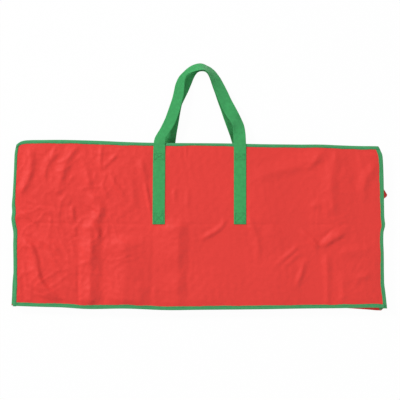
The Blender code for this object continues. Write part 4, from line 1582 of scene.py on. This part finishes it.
class TREEBAG_OT_zip_coil(Operator):
    """Winds both sides of the zip's coil and clamps its end stops"""

    bl_idname = "treebag.zip_coil"
    bl_label = "Zip coil and stops"

    def execute(self, context):
        look = context.scene.tree_bag_zip
        nylon = coil_material()
        for layer, outward, _ in LAYERS:
            node = f"zip_coil_{layer}"
            low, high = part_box(node)
            depth = (high.y - low.y) / 2 - look.strand / 2
            middle = (high.y + low.y) / 2
            tip = -outward * 0.00045
            near = (low.z if outward > 0 else high.z) - mid_level
            far = (high.z if outward > 0 else low.z) - mid_level
            rise = outward * look.strand / 2
            halfway, crest = (near + far) / 2, far - rise * 2.0
            turn = [
                (-0.42, 0.0, far - rise), (-0.30, 0.86, crest), (-0.12, 1.0, halfway),
                (-0.04, 0.9, near * 0.3), (0.0, 0.35, tip), (0.04, -0.35, tip),
                (0.08, -0.9, near * 0.3), (0.16, -1.0, halfway), (0.34, -0.86, crest),
                (0.50, 0.0, far - rise),
            ]
            turn = [(along * look.pitch, side * depth, up) for along, side, up in turn]
            shape = rod_mesh("coil_turn", turn, look.strand / 2, 6)
            shift = look.pitch * (0.25 if outward > 0 else -0.25)
            ends = (low.x + look.pitch + shift, high.x - look.pitch + shift)
            path = [(x, middle, mid_level) for x in ends]
            name = f"zip_{layer}_coil"
            coil = repeated(name, [path], shape, look.pitch, (0, 0, 1), 0.0, 41, nylon)
            finish_piece(coil, nylon, node, body="zip_strip")
        for side, _ in SIDES:
            node = f"zip_stop_{side}"
            low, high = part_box(node)
            wall = 0.0005
            claw = [
                (low.y, low.z), (high.y, low.z), (high.y, high.z), (low.y, high.z),
                (low.y, high.z - wall * 1.3), (high.y - wall, high.z - wall * 1.3),
                (high.y - wall, low.z + wall * 1.3), (low.y, low.z + wall * 1.3),
            ]
            outline = rounded_outline(claw, 0.0004, 3)
            stop = prism(node + "_clamp", outline, low.x, high.x, 0.00008, 1)
            stop.data.transform(Matrix(((0, 1, 0, 0), (1, 0, 0, 0), (0, 0, 1, 0), (0, 0, 0, 1))))
            stop.data.flip_normals()
            finish_piece(stop, nickel_material(), node, body="zip_strip")
        return {"FINISHED"}


class TREEBAG_OT_zip_slider(Operator):
    """Makes the slider: two plates with turned-in rims, a wedge between them and a bridge"""

    bl_idname = "treebag.zip_slider"
    bl_label = "Zip slider"

    def execute(self, context):
        low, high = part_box("zip_slider")
        coil_low, coil_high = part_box("zip_coil_back")
        x0 = (low.x + high.x) / 2
        half = [
            (-7.0, 2.6), (-6.4, 3.5), (-1.5, 4.0), (2.2, 4.9), (5.2, 5.0), (6.8, 3.9), (7.0, 2.2),
            (5.6, 0.6),
        ]
        outline = rounded_outline(placed(mirrored(half), x0, mid_level), 0.0008, 3)
        # Both plates lie clear of the coil by this gap and are as thick as the room that is left
        gap = 0.0004
        plate = coil_low.y - gap - low.y
        top = coil_high.y + gap + plate
        rim_low, rim_high = low.y + plate * 0.5, coil_high.y + gap + plate * 0.5
        pieces = [
            prism("inner_plate", outline, low.y, low.y + plate, 0.00025, 3),
            prism("outer_plate", outline, top - plate, top, 0.00025, 3),
        ]
        rim = [
            (-6.4, 2.9), (-1.4, 3.3), (2.4, 4.2), (5.0, 4.3), (5.0, 4.95), (2.2, 4.85),
            (-1.5, 3.95), (-6.4, 3.5),
        ]
        for sign in (1, -1):
            edge = placed(rim, x0, mid_level, sign)
            pieces.append(prism("inner_rim", edge, rim_low, low.y + plate + 0.0007, 0.00012, 1))
            pieces.append(prism("outer_rim", edge, coil_high.y - 0.0003, rim_high, 0.00012, 1))
        wedge = [(2.0, 0), (3.4, 0.75), (5.4, 0.5), (6.2, 0), (5.4, -0.5), (3.4, -0.75)]
        wedge = placed(wedge, x0, mid_level)
        pieces.append(prism("wedge", wedge, rim_low, rim_high, 0.0001, 1))
        crown = high.y
        arch = [
            (-5.0, top - 0.0002), (-4.7, crown - 0.0016), (-3.2, crown - 0.0005),
            (0, crown - 0.00045), (3.2, crown - 0.0005), (4.7, crown - 0.0016), (5.0, top - 0.0002),
        ]
        arch = through_rows(arch, 5)
        rings = []
        points = np.stack([x0 + arch[:, 0] * MM, arch[:, 1], mid_level + 0 * arch[:, 0]], axis=1)
        run = np.gradient(points, axis=0)
        run /= np.linalg.norm(run, axis=1)[:, None]
        upward = np.stack([-run[:, 1], run[:, 0], 0 * run[:, 0]], axis=1)
        for point, up in zip(points, upward):
            ring = []
            for turn in np.arange(16) * math.pi / 8:
                c, s = math.cos(turn), math.sin(turn)
                wide = math.copysign(abs(c) ** 0.55, c) * 0.0013
                tall = math.copysign(abs(s) ** 0.55, s) * 0.00043
                ring.append(point + np.array((0, 0, 1)) * wide + up * tall)
            rings.append(ring)
        pieces.append(swept("bridge", rings, np.zeros((len(rings), 16, 2))))
        slider = join("zip_slider_body", pieces)
        finish_piece(slider, nickel_material(), "zip_slider", body="zip_slider")
        return {"FINISHED"}


class TREEBAG_OT_zip_pull(Operator):
    """Makes the pull: a flat tab with a window at the slider and a ribbed grip"""

    bl_idname = "treebag.zip_pull"
    bl_label = "Zip pull"

    def execute(self, context):
        low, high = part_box("zip_pull")
        x0, z0 = low.x, (low.z + high.z) / 2
        half = [
            (0.15, 2.4), (0.9, 3.5), (3.2, 4.1), (9.5, 4.1), (12.5, 3.0), (16, 2.9), (22, 4.0),
            (27, 4.5), (30.4, 3.6), (31.85, 1.6),
        ]
        outline = np.array(rounded_outline(mirrored(half), 1.6, 4))
        # The window is part rectangle, part oval, with a bar left at the slider's end
        bar, window_length, opening = 1.6, 7.5, 2.3
        middle = np.array((bar + window_length / 2, 0.0))
        offset = outline - middle
        reach = np.array((window_length / 2, opening))
        square = (reach / np.maximum(np.abs(offset), 1e-9)).min(1)
        oval = 1 / np.hypot(*(offset / reach).T)
        hole = middle + offset * (0.75 * square + 0.25 * oval)[:, None]
        count = len(outline)
        vertices = []
        for y in (low.y, high.y):
            vertices += [(x, y, z) for x, z in placed(outline, x0, z0) + placed(hole, x0, z0)]
        faces = []
        for i in range(count):
            j = (i + 1) % count
            faces.append((i, j, count + j, count + i))
            faces.append((2 * count + i, 3 * count + i, 3 * count + j, 2 * count + j))
            faces.append((i, 2 * count + i, 2 * count + j, j))
            faces.append((count + i, count + j, 3 * count + j, 3 * count + i))
        tab = new_mesh_object("pull_tab", vertices, faces)

        def round_rims(shape):
            face_outward(shape)
            sharp = [
                e for e in shape.edges
                if len(e.link_faces) == 2
                and e.link_faces[0].normal.angle(e.link_faces[1].normal) > 1.0
            ]
            round_edges(shape, sharp, 0.0003, 3)

        reshape(tab, round_rims)
        pieces = [tab]
        for x, reach in ((20.5, 2.5), (22.7, 2.9), (24.9, 3.1), (27.1, 2.8)):
            rib = [(x - 0.45, -reach), (x + 0.45, -reach), (x + 0.45, reach), (x - 0.45, reach)]
            rib = placed(rounded_outline(rib, 0.4, 3), x0, z0)
            pieces.append(prism("rib", rib, low.y - 0.00022, high.y + 0.00022, 0.0002, 2))
        pull = join("zip_pull_tab", pieces)
        finish_piece(pull, nickel_material(), "zip_pull", body="zip_pull")
        return {"FINISHED"}


# The stage


def seen_directly(tree):
    """1 for what the camera sees, straight or by a glossy or clear surface, 0 for what lights."""
    rays = add_node(tree, "ShaderNodeLightPath")
    seen = math_node(tree, "MAXIMUM", rays.outputs["Is Camera Ray"], rays.outputs["Is Glossy Ray"])
    return math_node(tree, "MAXIMUM", seen, rays.outputs["Is Transmission Ray"])


class TREEBAG_OT_stage(Operator):
    """Sets the pale floor, the soft light and the camera that looks straight down"""

    bl_idname = "treebag.stage"
    bl_label = "Stage"

    def execute(self, context):
        scene = context.scene
        stage = scene.tree_bag_stage
        scene.view_settings.view_transform = "Standard"
        size = 30.0
        floor = new_mesh_object(
            "floor",
            [(-size, -size, 0), (size, -size, 0), (size, size, 0), (-size, size, 0)],
            [(0, 1, 2, 3)],
            smooth_faces=False,
        )
        floor.data.transform(Matrix.Translation((0, 0, -0.0006)))
        paint = bpy.data.materials.new("pale_floor")
        paint.use_nodes = True
        tree = paint.node_tree
        shader = tree.nodes["Principled BSDF"]
        shader.inputs["Base Color"].default_value = (0.86, 0.86, 0.86, 1)
        shader.inputs["Roughness"].default_value = 0.9
        shader.inputs["Specular IOR Level"].default_value = 0.0
        white = add_node(tree, "ShaderNodeEmission", {"Color": (1, 1, 1, 1), "Strength": 1.0})
        share = math_node(tree, "MULTIPLY", seen_directly(tree), stage.floor_white)
        sources = {0: share, 1: shader.outputs[0], 2: white.outputs[0]}
        mix = add_node(tree, "ShaderNodeMixShader", sources)
        tree.links.new(mix.outputs[0], tree.nodes["Material Output"].inputs["Surface"])
        set_material(floor, paint)

        world = bpy.data.worlds.new("studio")
        world.use_nodes = True
        scene.world = world
        tree = world.node_tree
        light = tree.nodes["Background"]
        light.inputs["Color"].default_value = (1, 1, 1, 1)
        light.inputs["Strength"].default_value = stage.sky_strength
        white = add_node(tree, "ShaderNodeBackground", {"Color": (1, 1, 1, 1), "Strength": 1.0})
        seen = seen_directly(tree)
        sources = {0: seen, 1: light.outputs[0], 2: white.outputs[0]}
        mix = add_node(tree, "ShaderNodeMixShader", sources)
        tree.links.new(mix.outputs[0], tree.nodes["World Output"].inputs["Surface"])

        aim = Vector((0, centre_y, 0))
        for name, place, side, power in (
            ("key_softbox", Vector((-5.6, 4.3, 4.8)), 1.6, stage.key_power),
            ("fill_softbox", Vector((3.4, -2.2, 4.2)), 2.5, stage.fill_power),
        ):
            data = bpy.data.lights.new(name, "AREA")
            data.shape = "SQUARE"
            data.size = side
            data.energy = power
            lamp = add_object(name, data)
            lamp.location = aim + place
            lamp.rotation_euler = (-place).to_track_quat("-Z", "Y").to_euler()

        data = bpy.data.cameras.new("camera")
        camera = add_object("camera", data)
        x, y = photo_place(*VIEW_MIDDLE_PX)
        distance = stage.camera_distance
        camera.location = (float(x), float(y), front_level + distance)
        camera.rotation_euler = (0, 0, 0)
        data.sensor_width = 36
        data.lens = data.sensor_width * distance / (VIEW_WIDTH_PX * PIXEL)
        data.clip_end = 100
        scene.camera = camera
        return {"FINISHED"}


# Settings


def colour_field(name, description, default):
    return FloatVectorProperty(
        name=name, description=description, subtype="COLOR", default=default, min=0, max=1,
    )


def length_field(name, description, default, least, most, precision=5):
    return FloatProperty(
        name=name, description=description, default=default, min=least, max=most,
        unit="LENGTH", precision=precision,
    )


def power_field(name, description, default):
    return FloatProperty(
        name=name, description=description, default=default, min=0, max=5000, unit="POWER",
    )


class TreeBagCloth(PropertyGroup):
    colour: colour_field("Cloth colour", "Colour of the coated cloth", (0.765, 0.0445, 0.035))
    roughness: FloatProperty(
        name="Cloth roughness", description="How dull the coating is", default=0.58, min=0.1, max=1,
    )
    weave_pitch: length_field("Weave pitch", "Distance between two threads", 0.0007, 0.0002, 0.005)


class TreeBagTape(PropertyGroup):
    colour: colour_field("Tape colour", "Colour of the binding tape", (0.055, 0.345, 0.125))
    rib_pitch: length_field("Tape rib pitch", "Distance between two ribs", 0.0010, 0.0003, 0.005)


class TreeBagWebbing(PropertyGroup):
    colour: colour_field("Webbing colour", "Colour of the handles' webbing", (0.046, 0.358, 0.108))
    rib_pitch: length_field("Webbing rib pitch", "Distance between two ribs", 0.0021, 0.0005, 0.01)


class TreeBagStitches(PropertyGroup):
    # Partly the thread's own green, partly painted shade: it is set darker to stand for the shade
    # in the stitch grooves
    colour: colour_field("Thread colour", "Colour of the sewing thread", (0.024, 0.180, 0.062))
    length: length_field("Stitch length", "Length of one stitch", 0.0030, 0.001, 0.01, 4)
    edge_inset: length_field(
        "Box inset", "Distance from the webbing's edge to its boxed stitching",
        0.0038, 0.001, 0.01, 4,
    )
    tape_inset: length_field(
        "Tape stitch inset", "Distance from the tape's inner edge to its stitching",
        0.0019, 0.0005, 0.005, 4,
    )


class TreeBagZip(PropertyGroup):
    coil_colour: colour_field("Coil colour", "Colour of the zip's coil", (0.030, 0.190, 0.070))
    pitch: length_field(
        "Coil pitch", "Distance between two turns of the coil", 0.0017, 0.0008, 0.005
    )
    strand: length_field(
        "Coil strand", "Thickness of the coil's strand", 0.00062, 0.0002, 0.002
    )


class TreeBagStage(PropertyGroup):
    camera_distance: length_field(
        "Camera distance", "Height of the camera over the front panel", 6.0, 1, 20, 2
    )
    sky_strength: FloatProperty(
        name="Sky strength", description="Strength of the even light", default=0.40, min=0, max=3,
    )
    key_power: power_field("Key light power", "Power of the softbox at the upper left", 600)
    fill_power: power_field("Fill light power", "Power of the softbox at the lower right", 60)
    floor_white: FloatProperty(
        name="Floor white", description="Share of plain white in the floor as it is seen",
        default=0.97, min=0, max=1, subtype="FACTOR",
    )


SETTINGS = {
    "tree_bag_cloth": TreeBagCloth,
    "tree_bag_tape": TreeBagTape,
    "tree_bag_webbing": TreeBagWebbing,
    "tree_bag_stitches": TreeBagStitches,
    "tree_bag_zip": TreeBagZip,
    "tree_bag_stage": TreeBagStage,
}
STEPS = (
    TREEBAG_OT_stage,
    TREEBAG_OT_front_cloth,
    TREEBAG_OT_edge_lips,
    TREEBAG_OT_back_cloth,
    TREEBAG_OT_end_walls,
    TREEBAG_OT_long_walls,
    TREEBAG_OT_binding_tapes,
    TREEBAG_OT_corner_tapes,
    TREEBAG_OT_front_handle,
    TREEBAG_OT_rear_handle,
    TREEBAG_OT_handle_stitching,
    TREEBAG_OT_binding_stitching,
    TREEBAG_OT_zip_tapes,
    TREEBAG_OT_zip_coil,
    TREEBAG_OT_zip_slider,
    TREEBAG_OT_zip_pull,
)


class TREEBAG_PT_panel(Panel):
    """Lists the bag's settings and its pieces"""

    bl_idname = "TREEBAG_PT_panel"
    bl_label = "Tree Bag"
    bl_space_type = "VIEW_3D"
    bl_region_type = "UI"
    bl_category = "Tree Bag"

    def draw(self, context):
        for name, settings in SETTINGS.items():
            box = self.layout.box()
            for field in settings.__annotations__:
                box.prop(getattr(context.scene, name), field)
        for step in STEPS:
            self.layout.operator(step.bl_idname)


def register():
    for group in SETTINGS.values():
        bpy.utils.register_class(group)
    for name, group in SETTINGS.items():
        setattr(bpy.types.Scene, name, PointerProperty(type=group))
    for step in STEPS:
        bpy.utils.register_class(step)
    bpy.utils.register_class(TREEBAG_PT_panel)


def unregister():
    bpy.utils.unregister_class(TREEBAG_PT_panel)
    for step in reversed(STEPS):
        bpy.utils.unregister_class(step)
    for name, group in SETTINGS.items():
        delattr(bpy.types.Scene, name)
        bpy.utils.unregister_class(group)


def main():
    register()
    for step in STEPS:
        group, name = step.bl_idname.split(".")
        if getattr(getattr(bpy.ops, group), name)() != {"FINISHED"}:
            raise RuntimeError(f"{step.bl_label} wasn't finished")


if __name__ == "__main__":
    main()
